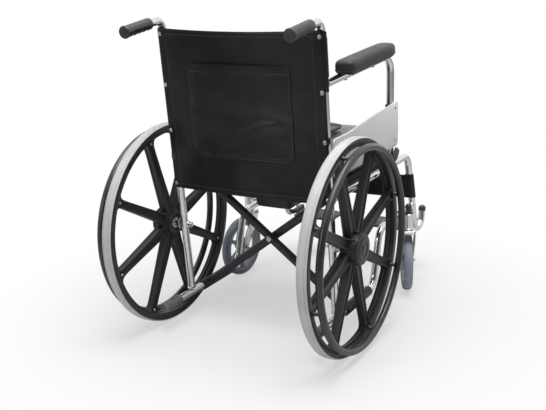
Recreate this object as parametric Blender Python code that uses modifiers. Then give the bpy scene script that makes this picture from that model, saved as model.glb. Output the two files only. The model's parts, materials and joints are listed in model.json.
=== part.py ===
"""A folding commode wheelchair: steel tube side frames, a cross brace, mag wheels, and a seat over a pan.

Metres, +Z up. The chair faces -Y and the user's left is +X. The origin is on the floor, under the
middle of the chair's box. Heights are from the floor. Distances along the chair are first given
from the rear axle, forward negative, and placed() moves them into the frame.
"""

from math import atan2, cos, hypot, pi, radians, sin, tan

import bmesh
import bpy
from mathutils import Matrix, Quaternion, Vector

# Fits
GAP = 0.0003
BORE_PLAY = 0.0004
WELD = 0.00001
ARC_STEP = radians(20.0)

# Rear wheel
TYRE_RADIUS = 0.300
TYRE_WIDTH = 0.029
TYRE_SIDES = 40
TREAD_HEIGHT = 0.0055
TYRE_SHOULDER = 0.004
RIM_DEPTH = 0.0205
RIM_WALL = 0.003
WHEEL_OFFSET = 0.2965
SPOKE_COUNT = 8
SPOKE_TURN = radians(17.7)
SPOKE_ROOT_WIDTH = 0.030
SPOKE_TIP_WIDTH = 0.022
SPOKE_THICKNESS = 0.022
HUB_RADIUS = 0.040
HUB_INNER_REACH = 0.021
HUB_OUTER_REACH = 0.027
HUB_CAP_RADIUS = 0.0425
HUB_CAP_DEPTH = 0.0095
AXLE_RADIUS = 0.008
AXLE_NUT_RADIUS = 0.014
AXLE_BOSS_RADIUS = 0.0185
AXLE_BOSS_THICKNESS = 0.004

# Handrim
HANDRIM_RING_RADIUS = 0.273
HANDRIM_TUBE_RADIUS = 0.010
HANDRIM_STANDOFF = 0.037
HANDRIM_SIDES = 40
HANDRIM_TUBE_SIDES = 8
LUG_RADIUS = 0.005
LUG_RING_RADIUS = 0.278

# Side frame tubes
TUBE_RADIUS = 0.011
TUBE_BEVEL_STEPS = 3
FRAME_OFFSET = 0.241
BEND_RADIUS = 0.050
SIDE_RAIL_HEIGHT = 0.428
LOWER_RAIL_HEIGHT = 0.080
FRONT_RAIL_HEIGHT = 0.250
LOWER_RAIL_REAR = 0.130
LOWER_RAIL_RISE_START = -0.279
LOWER_RAIL_RISE_END = -0.329
FRONT_BEND_REACH = -0.559
FRONT_TUBE_SLOPE = 0.300
HOOK_HEIGHT = 0.150
HOOK_REACH = -0.724
HOOK_RISE = 0.055
HOOK_BEND_RADIUS = 0.028
HOOK_CAP_RADIUS = 0.0125
HOOK_CAP_LENGTH = 0.018
FRONT_REACH = 0.724

# Back canes and push grips
CANE_AXLE_REACH = 0.0048
CANE_RAKE = 0.082
CANE_BEND_RADIUS = 0.024
GRIP_HEIGHT = 0.8984
GRIP_TILT = radians(7.2)
GRIP_RADIUS = 0.0160
GRIP_LENGTH = 0.110
GRIP_REAR = 0.2235
GRIP_WALL = 0.004
GRIP_SIDES = 12
GRIP_RIBS = 5
GRIP_RIB_DEPTH = 0.0015
TIP_SLEEVE_RADIUS = 0.0145
TIP_SLEEVE_LENGTH = 0.078
TIP_SLEEVE_RIBS = 5
TIP_SLEEVE_RIB_DEPTH = 0.0012

# Armrests and side panels
ARM_CANE_HEIGHT = 0.7395
ARM_SLOPE = 0.0577
ARM_POST_REACH = -0.410
PAD_OFFSET = 0.262
PAD_WIDTH = 0.060
PAD_REAR = -0.030
PAD_FRONT = -0.335
PAD_THICKNESS = 0.040
PANEL_THICKNESS = 0.005
PANEL_FRONT = -0.435
PANEL_REAR = 0.018
PANEL_BOTTOM = 0.488
PANEL_FRONT_HEIGHT = 0.137
PANEL_SLOPE = 0.067
PANEL_CORNER_CUT = 0.020

# Cross brace
BRACE_RADIUS = 0.0125
BRACE_REAR_REACH = -0.085
BRACE_SPACING = 0.026
BRACE_SLEEVE_RADIUS = 0.0155
BRACE_SLEEVE_REAR = -0.068
BRACE_SLEEVE_FRONT = -0.239
SEAT_RAIL_HEIGHT = 0.4244
SEAT_RAIL_CLEARANCE = 0.004
SEAT_RAIL_REAR = -0.012
SEAT_RAIL_FRONT = -0.392
PIVOT_RADIUS = 0.004
PIVOT_HEAD_RADIUS = 0.009
PIVOT_HEAD_LENGTH = 0.006

# Seat, lid and pan
SEAT_HALF_WIDTH = 0.226
SEAT_REAR = -0.004
SEAT_FRONT = -0.426
SEAT_THICKNESS = 0.098
SEAT_BASE_THICKNESS = 0.018
SEAT_CROWN = 0.006
PAN_REACH = -0.156
PAN_RIM_RADIUS = 0.099
PAN_FLANGE_RADIUS = 0.107
PAN_FLANGE_THICKNESS = 0.004
PAN_BASE_RADIUS = 0.052
PAN_BASE_HEIGHT = 0.352
PAN_WALL = 0.003
PAN_BELLY_STEPS = 5
PAN_BELLY_SHARE = 0.62
PAN_SIDES = 24
PAN_HOLE_PLAY = 0.002
LID_HALF_WIDTH = 0.140
LID_FRONT = -0.300
LID_REAR = -0.012
LID_THICKNESS = 0.024

# Back upholstery and calf strap
BACK_HEM_HEIGHT = 0.420
BACK_TOP_HEIGHT = 0.876
BACK_CLOTH_THICKNESS = 0.0034
BACK_NOTCH_MARGIN = 0.004
BACK_SAG = 0.014
BACK_FOLD_DEPTH = 0.003
BACK_ROWS = 14
BACK_COLUMNS = 12
BACK_WRAP_STEPS = 7
BACK_WRAP_SWEEP = radians(235.0)
STRAP_LOW = 0.278
STRAP_HIGH = 0.361
STRAP_THICKNESS = 0.003
STRAP_BOW = 0.012

# Casters
CASTER_RADIUS = 0.100
CASTER_WIDTH = 0.028
CASTER_SIDES = 28
CASTER_TREAD = 0.018
CASTER_OFFSET = 0.289
CASTER_REACH = -0.4485
CASTER_TRAIL = 0.0546
CASTER_TURN_LEFT = radians(5.0)
CASTER_TURN_RIGHT = radians(154.5)
CASTER_SPOKES = 6
CASTER_AXLE_RADIUS = 0.004
CASTER_NUT_RADIUS = 0.0075
CASTER_NUT_LENGTH = 0.006
FORK_GAP = 0.004
FORK_BLADE = 0.004
FORK_CROWN_TOP = 0.216
FORK_CROWN_THICKNESS = 0.012
FORK_CROWN_HALF_LENGTH = 0.022
HOUSING_RADIUS = 0.016
HOUSING_TOP = 0.271
HOUSING_CAP_RADIUS = 0.0095
HOUSING_CAP_HEIGHT = 0.030

# Footplates
PLATE_INNER_OFFSET = 0.060
PLATE_REAR = -0.624
PLATE_THICKNESS = 0.010
PLATE_DROP = 0.004
PLATE_CORNER = 0.020
HINGE_RADIUS = 0.0075
HINGE_PIN_RADIUS = 0.0035
HINGE_HEIGHT = 0.163
HINGE_BLOCK_LENGTH = 0.014

# Wheel locks
LOCK_PLATE_THICKNESS = 0.004
LOCK_BAR_THICKNESS = 0.004
LOCK_BAR_WIDTH = 0.016
LOCK_PIN_RADIUS = 0.004
LOCK_LEVER_REACH = -0.352
LOCK_LEVER_HEIGHT = 0.412
LOCK_LEVER_LENGTH = 0.046
LOCK_LEVER_TILT = radians(43.0)
LOCK_TIP_LENGTH = 0.040
LOCK_TIP_WIDTH = 0.022
LOCK_TIP_THICKNESS = 0.011
LOCK_SHOE_REACH = -0.330
LOCK_SHOE_PIVOT_HEIGHT = 0.380
LOCK_SHOE_RADIUS = 0.006
LOCK_SHOE_ANGLE = radians(24.0)
LOCK_SHOE_CLEARANCE = 0.012

# Sizes that follow
AXLE_HEIGHT = TYRE_RADIUS * cos(pi / TYRE_SIDES)
AXLE_PLACE = (FRONT_REACH - AXLE_HEIGHT) / 2
CASTER_AXLE_HEIGHT = CASTER_RADIUS * cos(pi / CASTER_SIDES)
SEAT_RAIL_OFFSET = FRAME_OFFSET - 2 * TUBE_RADIUS - SEAT_RAIL_CLEARANCE
PIVOT_HEIGHT = LOWER_RAIL_HEIGHT + (SEAT_RAIL_HEIGHT - LOWER_RAIL_HEIGHT) * FRAME_OFFSET / (
    FRAME_OFFSET + SEAT_RAIL_OFFSET
)
SEAT_BASE_HEIGHT = SEAT_RAIL_HEIGHT + TUBE_RADIUS + GAP
SEAT_BOTTOM = SEAT_BASE_HEIGHT + SEAT_BASE_THICKNESS + GAP
SEAT_TOP = SEAT_BOTTOM + SEAT_THICKNESS
PAN_RIM_HEIGHT = SEAT_TOP + GAP
LID_BOTTOM = PAN_RIM_HEIGHT + PAN_FLANGE_THICKNESS + GAP
PAN_HOLE_RADIUS = PAN_RIM_RADIUS + PAN_HOLE_PLAY
BRACE_FRONT_REACH = BRACE_REAR_REACH - BRACE_SPACING
OUTER_FACE = FRAME_OFFSET + TUBE_RADIUS


def placed(x, reach, height):
    """A point given by its side offset, its reach from the rear axle and its height."""
    return Vector((x, AXLE_PLACE + reach, height))


def cane_reach(height):
    """How far behind the rear axle the raked back cane stands at a height."""
    return CANE_AXLE_REACH + CANE_RAKE * (height - TYRE_RADIUS)


def grip_point(side, ahead):
    """A point on the push grip's drooping centre line, this far ahead of its rear end."""
    reach = GRIP_REAR - ahead * cos(GRIP_TILT)
    height = GRIP_HEIGHT - tan(GRIP_TILT) * (reach - cane_reach(GRIP_HEIGHT))
    return placed(side * FRAME_OFFSET, reach, height)


def front_tube_reach(height):
    """How far the sloping front tube stands from the axle at a height."""
    return FRONT_BEND_REACH - FRONT_TUBE_SLOPE * (SIDE_RAIL_HEIGHT - height)


def clear_scene():
    for old in list(bpy.data.objects):
        bpy.data.objects.remove(old, do_unlink=True)


def new_collection(name):
    collection = bpy.data.collections.new(name)
    bpy.context.scene.collection.children.link(collection)
    return collection


def make_material(name, colour, roughness, metallic):
    material = bpy.data.materials.new(name)
    material.use_nodes = True
    shader = material.node_tree.nodes["Principled BSDF"]
    shader.inputs["Base Color"].default_value = (*colour, 1.0)
    shader.inputs["Roughness"].default_value = roughness
    shader.inputs["Metallic"].default_value = metallic
    material.diffuse_color = (*colour, 1.0)
    return material


def add_object(name, data, material, collection=None):
    """Link a mesh or curve as a named part."""
    part = bpy.data.objects.new(name, data)
    data.materials.clear()
    data.materials.append(material)
    (collection or PARTS).objects.link(part)
    return part


def hide_as_cutter(part):
    part.hide_render = True
    part.display_type = "WIRE"
    for collection in list(part.users_collection):
        collection.objects.unlink(part)
    CUTTERS.objects.link(part)
    return part


def rounded_path(points, bend_radius):
    """The points of a bent tube's centre line, each corner an arc of the bend radius."""
    path = [points[0]]
    for before, corner, after in zip(points, points[1:], points[2:]):
        back = (before - corner).normalized()
        on = (after - corner).normalized()
        half = back.angle(on) / 2
        radius = min(bend_radius, 0.48 * min((before - corner).length, (after - corner).length) * tan(half))
        centre = corner + (back + on).normalized() * radius / sin(half)
        spoke = corner + back * radius / tan(half) - centre
        last = corner + on * radius / tan(half) - centre
        sweep = spoke.angle(last)
        steps = max(2, round(sweep / ARC_STEP))
        turn = spoke.cross(last)
        path += [centre + Quaternion(turn, sweep * step / steps) @ spoke for step in range(steps + 1)]
    path.append(points[-1])
    return path


def tube_curve(name, path, radius, material):
    """A round tube along a path, as a curve with filled ends."""
    curve = bpy.data.curves.new(name, "CURVE")
    curve.dimensions = "3D"
    curve.twist_mode = "MINIMUM"
    curve.bevel_depth = radius
    curve.bevel_resolution = TUBE_BEVEL_STEPS
    curve.use_fill_caps = True
    spline = curve.splines.new("POLY")
    spline.points.add(len(path) - 1)
    for point, spot in zip(spline.points, path):
        point.co = (*spot, 1.0)
    return add_object(name, curve, material)


def to_mesh(curve_part):
    """Replace a curve by its own mesh with welded caps, so that it can be cut or joined."""
    bpy.context.view_layer.update()
    graph = bpy.context.evaluated_depsgraph_get()
    mesh = bpy.data.meshes.new_from_object(curve_part.evaluated_get(graph))
    form = bmesh.new()
    form.from_mesh(mesh)
    bmesh.ops.remove_doubles(form, verts=form.verts, dist=WELD)
    bmesh.ops.recalc_face_normals(form, faces=form.faces)
    form.to_mesh(mesh)
    form.free()
    name = curve_part.name
    material = curve_part.data.materials[0]
    matrix = curve_part.matrix_world.copy()
    bpy.data.objects.remove(curve_part, do_unlink=True)
    part = add_object(name, mesh, material)
    part.matrix_world = matrix
    return part


def side_turn(axis, spin=0.0):
    """Turn local +Z to an axis, with local +X pointing down, then spin about the axis."""
    up = Vector(axis).normalized()
    across = up.cross(Vector((0, 0, -1))).normalized()
    down = across.cross(up)
    basis = Matrix((down, across, up)).transposed()
    return (basis @ Matrix.Rotation(spin, 3, "Z")).to_euler()


def turned(name, profile, place, material, sides, axis=None, spin=0.0, ring=False):
    """A turned piece: its profile of (radius, height) runs from the top down the outer side."""
    mesh = bpy.data.meshes.new(name)
    edges = [(i, i + 1) for i in range(len(profile) - 1)]
    if ring:
        edges.append((len(profile) - 1, 0))
    mesh.from_pydata([(radius, 0, height) for radius, height in profile], edges, [])
    part = add_object(name, mesh, material)
    part.location = place
    if axis is None:
        part.rotation_euler = (0, 0, spin)
    else:
        part.rotation_euler = side_turn(axis, spin)
    screw = part.modifiers.new("Turn", "SCREW")
    screw.axis = "Z"
    screw.angle = 2 * pi
    screw.steps = sides
    screw.render_steps = sides
    screw.use_merge_vertices = True
    screw.merge_threshold = WELD
    return part


def rod(name, start, end, radius, material, sides=12):
    """A plain round rod between two points."""
    length = (end - start).length
    mesh = bpy.data.meshes.new(name)
    form = bmesh.new()
    bmesh.ops.create_cone(form, cap_ends=True, segments=sides, radius1=radius, radius2=radius, depth=length)
    form.to_mesh(mesh)
    form.free()
    part = add_object(name, mesh, material)
    part.location = (start + end) / 2
    part.rotation_euler = Vector((0, 0, 1)).rotation_difference(end - start).to_euler()
    return part


def box(name, low, high, material, bevel=0.0):
    """A box between two corners, with its edges rounded by a bevel."""
    size = high - low
    mesh = bpy.data.meshes.new(name)
    form = bmesh.new()
    bmesh.ops.create_cube(form, size=1.0)
    bmesh.ops.scale(form, vec=size, verts=form.verts)
    form.to_mesh(mesh)
    form.free()
    part = add_object(name, mesh, material)
    part.location = (low + high) / 2
    if bevel:
        add_bevel(part, bevel)
    return part


def add_bevel(part, width, segments=1):
    bevel = part.modifiers.new("Rounded edges", "BEVEL")
    bevel.width = width
    bevel.segments = segments
    bevel.limit_method = "ANGLE"
    return bevel


def flat_shape(name, loops, thickness, material):
    """A flat plate: each loop is a closed outline of (x, y), drawn in the plate's own plane."""
    curve = bpy.data.curves.new(name, "CURVE")
    curve.dimensions = "2D"
    curve.fill_mode = "BOTH"
    curve.extrude = thickness / 2
    for loop in loops:
        spline = curve.splines.new("POLY")
        spline.points.add(len(loop) - 1)
        for point, spot in zip(spline.points, loop):
            point.co = (spot[0], spot[1], 0.0, 1.0)
        spline.use_cyclic_u = True
    return add_object(name, curve, material)


def upright_turn():
    """Turn a plate drawn flat so that its x runs along +Y and its y runs up."""
    return Matrix(((0, 0, 1), (1, 0, 0), (0, 1, 0))).to_euler()


def circle(centre, radius, sides, start=0.0, sweep=2 * pi):
    """Points round a circle or an arc; an arc has both its ends."""
    count = sides if sweep == 2 * pi else sides + 1
    turns = [start + sweep * i / sides for i in range(count)]
    return [(centre[0] + radius * cos(turn), centre[1] + radius * sin(turn)) for turn in turns]


def combine(part, others, operation):
    """Join or cut a part with others, which become hidden cutters."""
    for other in others:
        hide_as_cutter(other)
        boolean = part.modifiers.new(operation.title(), "BOOLEAN")
        boolean.operation = operation
        boolean.solver = "EXACT"
        boolean.object = other
    return part


def join(part, *others):
    return combine(part, others, "UNION")


def cut(part, *others):
    return combine(part, others, "DIFFERENCE")


def side_name(word, side):
    return f"{word}_left" if side > 0 else f"{word}_right"


def build_back_cane(side):
    """The raked upright, bent back at the top to carry the push grip."""
    x = side * FRAME_OFFSET
    foot = LOWER_RAIL_HEIGHT + TUBE_RADIUS + GAP + TUBE_RADIUS * CANE_RAKE
    path = rounded_path(
        [
            placed(x, cane_reach(foot), foot),
            placed(x, cane_reach(GRIP_HEIGHT), GRIP_HEIGHT),
            grip_point(side, GRIP_WALL + GAP),
        ],
        CANE_BEND_RADIUS,
    )
    tube_curve(side_name("back_cane", side), path, TUBE_RADIUS, CHROME)


def build_side_rail(side):
    """The seat rail, the sloping front tube and the hook at its foot: one bent tube."""
    x = side * FRAME_OFFSET
    start = cane_reach(SIDE_RAIL_HEIGHT) - TUBE_RADIUS * hypot(1, CANE_RAKE) - TUBE_RADIUS * CANE_RAKE - GAP
    corners = [
        placed(x, start, SIDE_RAIL_HEIGHT),
        placed(x, FRONT_BEND_REACH, SIDE_RAIL_HEIGHT),
        placed(x, front_tube_reach(HOOK_HEIGHT), HOOK_HEIGHT),
    ]
    upper = rounded_path(corners, BEND_RADIUS)[:-1]
    hook = rounded_path(
        [
            upper[-1],
            corners[-1],
            placed(x, HOOK_REACH + TUBE_RADIUS, HOOK_HEIGHT + TUBE_RADIUS),
            placed(x, HOOK_REACH + TUBE_RADIUS * 2, HOOK_HEIGHT + HOOK_RISE),
        ],
        HOOK_BEND_RADIUS,
    )
    tube_curve(side_name("side_rail", side), upper + hook[1:], TUBE_RADIUS, CHROME)
    end = hook[-1]
    way = (hook[-1] - hook[-2]).normalized()
    cap = turned(
        side_name("front_tube_cap", side),
        dome_profile(HOOK_CAP_RADIUS, HOOK_CAP_LENGTH),
        end + way * GAP,
        RUBBER,
        12,
    )
    cap.rotation_euler = Vector((0, 0, 1)).rotation_difference(way).to_euler()


def dome_profile(radius, height, steps=3):
    """A round-topped cap, from the crown down its side to its flat foot."""
    crown = [
        (radius * sin(pi / 2 * i / steps), height - radius * 0.6 * (1 - cos(pi / 2 * i / steps)))
        for i in range(steps + 1)
    ]
    return crown + [(radius, 0.0), (0.0, 0.0)]


def build_lower_rail(side):
    """The bottom tube: a tipping lever at the rear, then a rise that carries the caster."""
    x = side * FRAME_OFFSET
    slant = hypot(1, FRONT_TUBE_SLOPE)
    front = front_tube_reach(FRONT_RAIL_HEIGHT + TUBE_RADIUS) + TUBE_RADIUS * slant + GAP
    path = rounded_path(
        [
            placed(x, LOWER_RAIL_REAR, LOWER_RAIL_HEIGHT),
            placed(x, LOWER_RAIL_RISE_START, LOWER_RAIL_HEIGHT),
            placed(x, LOWER_RAIL_RISE_END, FRONT_RAIL_HEIGHT),
            placed(x, front, FRONT_RAIL_HEIGHT),
        ],
        BEND_RADIUS,
    )
    tube_curve(side_name("lower_rail", side), path, TUBE_RADIUS, CHROME)


def sleeve_profile(outer, bore, length, wall, ribs, rib_depth):
    """A ribbed sleeve, closed at its top: down its outer side, then back up its bore."""
    profile = [(0.0, length), (outer - wall, length), (outer, length - wall)]
    step = (length - wall) / ribs
    for rib in range(1, ribs):
        height = length - wall - rib * step
        profile += [(outer, height + step * 0.15), (outer - rib_depth, height), (outer, height - step * 0.15)]
    profile += [(outer, 0.0), (bore, 0.0), (bore, length - wall), (0.0, length - wall)]
    return profile


def build_sleeves(side):
    """The push grip on the cane and the rubber on the tipping lever."""
    x = side * FRAME_OFFSET
    bore = (TUBE_RADIUS + BORE_PLAY) / cos(pi / GRIP_SIDES)
    turned(
        side_name("push_grip", side),
        sleeve_profile(GRIP_RADIUS, bore, GRIP_LENGTH, GRIP_WALL, GRIP_RIBS, GRIP_RIB_DEPTH),
        grip_point(side, GRIP_LENGTH),
        RUBBER,
        GRIP_SIDES,
        axis=(0, cos(GRIP_TILT), -sin(GRIP_TILT)),
    )
    turned(
        side_name("tipping_sleeve", side),
        sleeve_profile(
            TIP_SLEEVE_RADIUS, bore, TIP_SLEEVE_LENGTH, GRIP_WALL, TIP_SLEEVE_RIBS, TIP_SLEEVE_RIB_DEPTH
        ),
        placed(x, LOWER_RAIL_REAR + GRIP_WALL + GAP - TIP_SLEEVE_LENGTH, LOWER_RAIL_HEIGHT),
        DARK_RUBBER,
        GRIP_SIDES,
        axis=(0, 1, 0),
    )


def arm_height(reach):
    """The height of the arm tube's centre line, which rises to the front."""
    return ARM_CANE_HEIGHT - ARM_SLOPE * (reach - cane_reach(ARM_CANE_HEIGHT))


def build_armrest(side):
    """The arm tube with its front post, and the pad that lies along it."""
    x = side * FRAME_OFFSET
    start = cane_reach(ARM_CANE_HEIGHT) - TUBE_RADIUS * (hypot(1, CANE_RAKE) + CANE_RAKE + ARM_SLOPE) - GAP
    path = rounded_path(
        [
            placed(x, start, arm_height(start)),
            placed(x, ARM_POST_REACH, arm_height(ARM_POST_REACH)),
            placed(x, ARM_POST_REACH, SIDE_RAIL_HEIGHT + TUBE_RADIUS + GAP),
        ],
        BEND_RADIUS,
    )
    tube_curve(side_name("arm_tube", side), path, TUBE_RADIUS, CHROME)
    length = PAD_REAR - PAD_FRONT
    middle = (PAD_REAR + PAD_FRONT) / 2
    low = Vector((-PAD_WIDTH / 2, -length / 2, 0))
    high = Vector((PAD_WIDTH / 2, length / 2, PAD_THICKNESS))
    pad = cushion(side_name("arm_pad", side), low, high, PAD, crown=0.005, draw=0.10)
    rest = arm_height(middle) + (TUBE_RADIUS + GAP) * hypot(1, ARM_SLOPE)
    pad.location = placed(side * PAD_OFFSET, middle, rest)
    pad.rotation_euler = (-atan2(ARM_SLOPE, 1), 0, 0)


def build_side_panel(side):
    """The plastic guard between the arm tube and the wheel, with a clip over the arm post."""
    front_top = PANEL_BOTTOM + PANEL_FRONT_HEIGHT
    rear_top = front_top - PANEL_SLOPE * (PANEL_REAR - PANEL_FRONT)
    outline = [
        (PANEL_FRONT + PANEL_CORNER_CUT, PANEL_BOTTOM),
        (PANEL_REAR, PANEL_BOTTOM),
        (PANEL_REAR, rear_top),
        (PANEL_FRONT, front_top),
        (PANEL_FRONT, PANEL_BOTTOM + PANEL_CORNER_CUT / 2),
    ]
    panel = flat_shape(side_name("side_panel", side), [outline], PANEL_THICKNESS, PANEL)
    panel.rotation_euler = upright_turn()
    panel.location = placed(side * (OUTER_FACE + GAP + PANEL_THICKNESS / 2), 0, 0)


def cushion(name, low, high, material, crown, draw, cuts=0):
    """A stuffed block: a crowned top, a flat bottom and sides drawn in between the seams."""
    size = high - low
    mesh = bpy.data.meshes.new(name)
    form = bmesh.new()
    bmesh.ops.create_cube(form, size=1.0)
    bmesh.ops.subdivide_edges(form, edges=form.edges, cuts=3 + cuts, use_grid_fill=True)
    for vert in form.verts:
        u, v, w = (2 * value for value in vert.co)
        inset = size.z * draw * w * w
        vert.co.x = u * (size.x / 2 - inset)
        vert.co.y = v * (size.y / 2 - inset)
        bulge = crown * (1 - u**4) * (1 - v**4) if w > 0.99 else 0.0
        vert.co.z = (w + 1) / 2 * (size.z - crown) + bulge
    form.to_mesh(mesh)
    form.free()
    part = add_object(name, mesh, material)
    add_bevel(part, min(size.z * 0.2, 0.008), 2)
    return part


def brace_slope():
    """The rest angle of both brace tubes from level."""
    return atan2(SEAT_RAIL_HEIGHT - LOWER_RAIL_HEIGHT, FRAME_OFFSET + SEAT_RAIL_OFFSET)


def build_brace(name, lower_side, reach):
    """One diagonal tube with a sleeve round its lower rail and a seat rail at its upper end."""
    slope = brace_slope()
    way = Vector((-lower_side * cos(slope), 0, sin(slope)))
    foot = placed(lower_side * FRAME_OFFSET, reach, LOWER_RAIL_HEIGHT)
    head = placed(-lower_side * SEAT_RAIL_OFFSET, reach, SEAT_RAIL_HEIGHT)
    start = foot + way * (TUBE_RADIUS + BORE_PLAY * 4)
    tube = rod(name, start, head - way * TUBE_RADIUS / 2, BRACE_RADIUS, BLACK_STEEL)
    sleeve = rod(
        name + "_sleeve",
        placed(foot.x, BRACE_SLEEVE_FRONT, LOWER_RAIL_HEIGHT),
        placed(foot.x, BRACE_SLEEVE_REAR, LOWER_RAIL_HEIGHT),
        BRACE_SLEEVE_RADIUS,
        BLACK_STEEL,
        16,
    )
    rail = rod(
        name + "_rail",
        placed(head.x, SEAT_RAIL_FRONT, SEAT_RAIL_HEIGHT),
        placed(head.x, SEAT_RAIL_REAR, SEAT_RAIL_HEIGHT),
        TUBE_RADIUS,
        BLACK_STEEL,
        16,
    )
    bore = rod(
        name + "_bore",
        placed(foot.x, BRACE_SLEEVE_FRONT - TUBE_RADIUS, LOWER_RAIL_HEIGHT),
        placed(foot.x, BRACE_SLEEVE_REAR + TUBE_RADIUS, LOWER_RAIL_HEIGHT),
        (TUBE_RADIUS + BORE_PLAY) / cos(pi / 16),
        BLACK_STEEL,
        16,
    )
    centre = placed(0, reach, PIVOT_HEIGHT)
    drill = rod(
        name + "_drill",
        centre - Vector((0, 2 * BRACE_RADIUS, 0)),
        centre + Vector((0, 2 * BRACE_RADIUS, 0)),
        (PIVOT_RADIUS + BORE_PLAY) / cos(pi / 12),
        BLACK_STEEL,
    )
    join(tube, sleeve, rail)
    cut(tube, bore, drill)


def build_braces():
    build_brace("brace_a", 1, BRACE_FRONT_REACH)
    build_brace("brace_b", -1, BRACE_REAR_REACH)
    height = PIVOT_HEIGHT
    grip = BRACE_RADIUS + GAP
    rear = BRACE_REAR_REACH + grip
    front = BRACE_FRONT_REACH - grip
    bolt = rod(
        "pivot_bolt",
        placed(0, front - PIVOT_HEAD_LENGTH / 2, height),
        placed(0, rear + PIVOT_HEAD_LENGTH / 2, height),
        PIVOT_RADIUS,
        CHROME,
    )
    head_end = placed(0, rear + PIVOT_HEAD_LENGTH, height)
    head = rod("pivot_head", placed(0, rear, height), head_end, PIVOT_HEAD_RADIUS, CHROME)
    nut_end = placed(0, front - PIVOT_HEAD_LENGTH, height)
    nut = rod("pivot_nut", nut_end, placed(0, front, height), PIVOT_HEAD_RADIUS, CHROME, 6)
    join(bolt, head, nut)


def build_seat():
    """The fabric seat base over the seat rails and the padded seat, both open over the pan."""
    side_reach = SEAT_RAIL_OFFSET + TUBE_RADIUS
    base = box(
        "seat_base",
        placed(-side_reach, SEAT_RAIL_FRONT, SEAT_BASE_HEIGHT),
        placed(side_reach, SEAT_RAIL_REAR, SEAT_BASE_HEIGHT + SEAT_BASE_THICKNESS),
        SEAT_FABRIC,
    )
    seat = cushion(
        "seat_cushion",
        placed(-SEAT_HALF_WIDTH, SEAT_FRONT, 0),
        placed(SEAT_HALF_WIDTH, SEAT_REAR, SEAT_THICKNESS),
        VINYL,
        crown=SEAT_CROWN,
        draw=0.10,
        cuts=2,
    )
    seat.location = placed(0, (SEAT_FRONT + SEAT_REAR) / 2, SEAT_BOTTOM)
    for part in (base, seat):
        hole = rod(
            part.name + "_hole",
            placed(0, PAN_REACH, SEAT_BASE_HEIGHT - SEAT_THICKNESS),
            placed(0, PAN_REACH, SEAT_TOP + SEAT_THICKNESS),
            PAN_HOLE_RADIUS,
            VINYL,
            PAN_SIDES,
        )
        cut(part, hole)


def build_pan():
    """The round pan that hangs by its rim in the seat's opening, and the lid pad over it."""
    rise = PAN_RIM_HEIGHT - PAN_BASE_HEIGHT
    belly = PAN_RIM_RADIUS - PAN_BASE_RADIUS
    turns = [pi / 2 * i / PAN_BELLY_STEPS for i in range(PAN_BELLY_STEPS + 1)]
    curve = rise * PAN_BELLY_SHARE
    outer = [(PAN_BASE_RADIUS + belly * sin(turn) ** 0.8, curve * (1 - cos(turn))) for turn in turns]
    inner = [(max(radius - PAN_WALL, 0.0), height + PAN_WALL) for radius, height in outer]
    brim = rise + PAN_FLANGE_THICKNESS
    profile = [(0.0, PAN_WALL)] + inner + [(PAN_RIM_RADIUS - PAN_WALL, brim), (PAN_FLANGE_RADIUS, brim)]
    profile += [(PAN_FLANGE_RADIUS, rise), (PAN_RIM_RADIUS, rise)] + outer[::-1] + [(0.0, 0.0)]
    turned("commode_pan", profile, placed(0, PAN_REACH, PAN_BASE_HEIGHT), PAN_PLASTIC, PAN_SIDES)
    lid = cushion(
        "lid_cushion",
        placed(-LID_HALF_WIDTH, LID_FRONT, 0),
        placed(LID_HALF_WIDTH, LID_REAR, LID_THICKNESS),
        VINYL,
        crown=SEAT_CROWN,
        draw=0.12,
    )
    lid.location = placed(0, (LID_FRONT + LID_REAR) / 2, LID_BOTTOM)


def back_fold(across, up):
    """How far the back upholstery hangs behind a flat sheet: a sag and its main soft folds."""
    hold = (1 - across**2) ** 0.7
    hang = 0.55 + 0.45 * sin(pi * min(1.0, up * 1.15))
    level_folds = sin(pi * (3.0 * up + 0.35 * across)) * sin(pi * (up * 2 + 0.2))
    slant_folds = 0.6 * sin(pi * (2.2 * across - up))
    return hold * (BACK_SAG * hang + BACK_FOLD_DEPTH * (level_folds + slant_folds))


def back_section(up):
    """One level loop of the back upholstery: the sheet and the wraps round both canes."""
    inner = (TUBE_RADIUS + BORE_PLAY) / cos(BACK_WRAP_SWEEP / 2 / BACK_WRAP_STEPS)
    outer = inner + BACK_CLOTH_THICKNESS

    def wrap(radius, side, reverse):
        arc = circle((FRAME_OFFSET, 0), radius, BACK_WRAP_STEPS, pi / 2, -BACK_WRAP_SWEEP)
        arc = [(side * x, y) for x, y in arc]
        return arc[::-1] if reverse else arc

    def sheet(offset, side):
        spots = []
        for column in range(1, BACK_COLUMNS):
            across = side * (1 - 2 * column / BACK_COLUMNS)
            spots.append((across * FRAME_OFFSET, offset + back_fold(across, up)))
        return spots

    loop = wrap(outer, 1, True) + sheet(outer, 1) + wrap(outer, -1, False)
    loop += wrap(inner, -1, True) + sheet(inner, -1) + wrap(inner, 1, False)
    return loop


def back_notch(word, side, low, high, rear):
    """A raked cutter that opens the wrap round a cane between two heights, back to a reach behind its centre."""
    inside = side * (FRAME_OFFSET - 1.6 * TUBE_RADIUS)
    outside = side * (FRAME_OFFSET + 2.5 * TUBE_RADIUS)
    middle = cane_reach((low + high) / 2)
    cutter = box(
        side_name(word, side),
        placed(min(inside, outside), middle - 3 * TUBE_RADIUS, low),
        placed(max(inside, outside), middle + rear, high),
        VINYL,
    )
    for vert in cutter.data.vertices:
        vert.co.y += CANE_RAKE * vert.co.z
    return cutter


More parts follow.
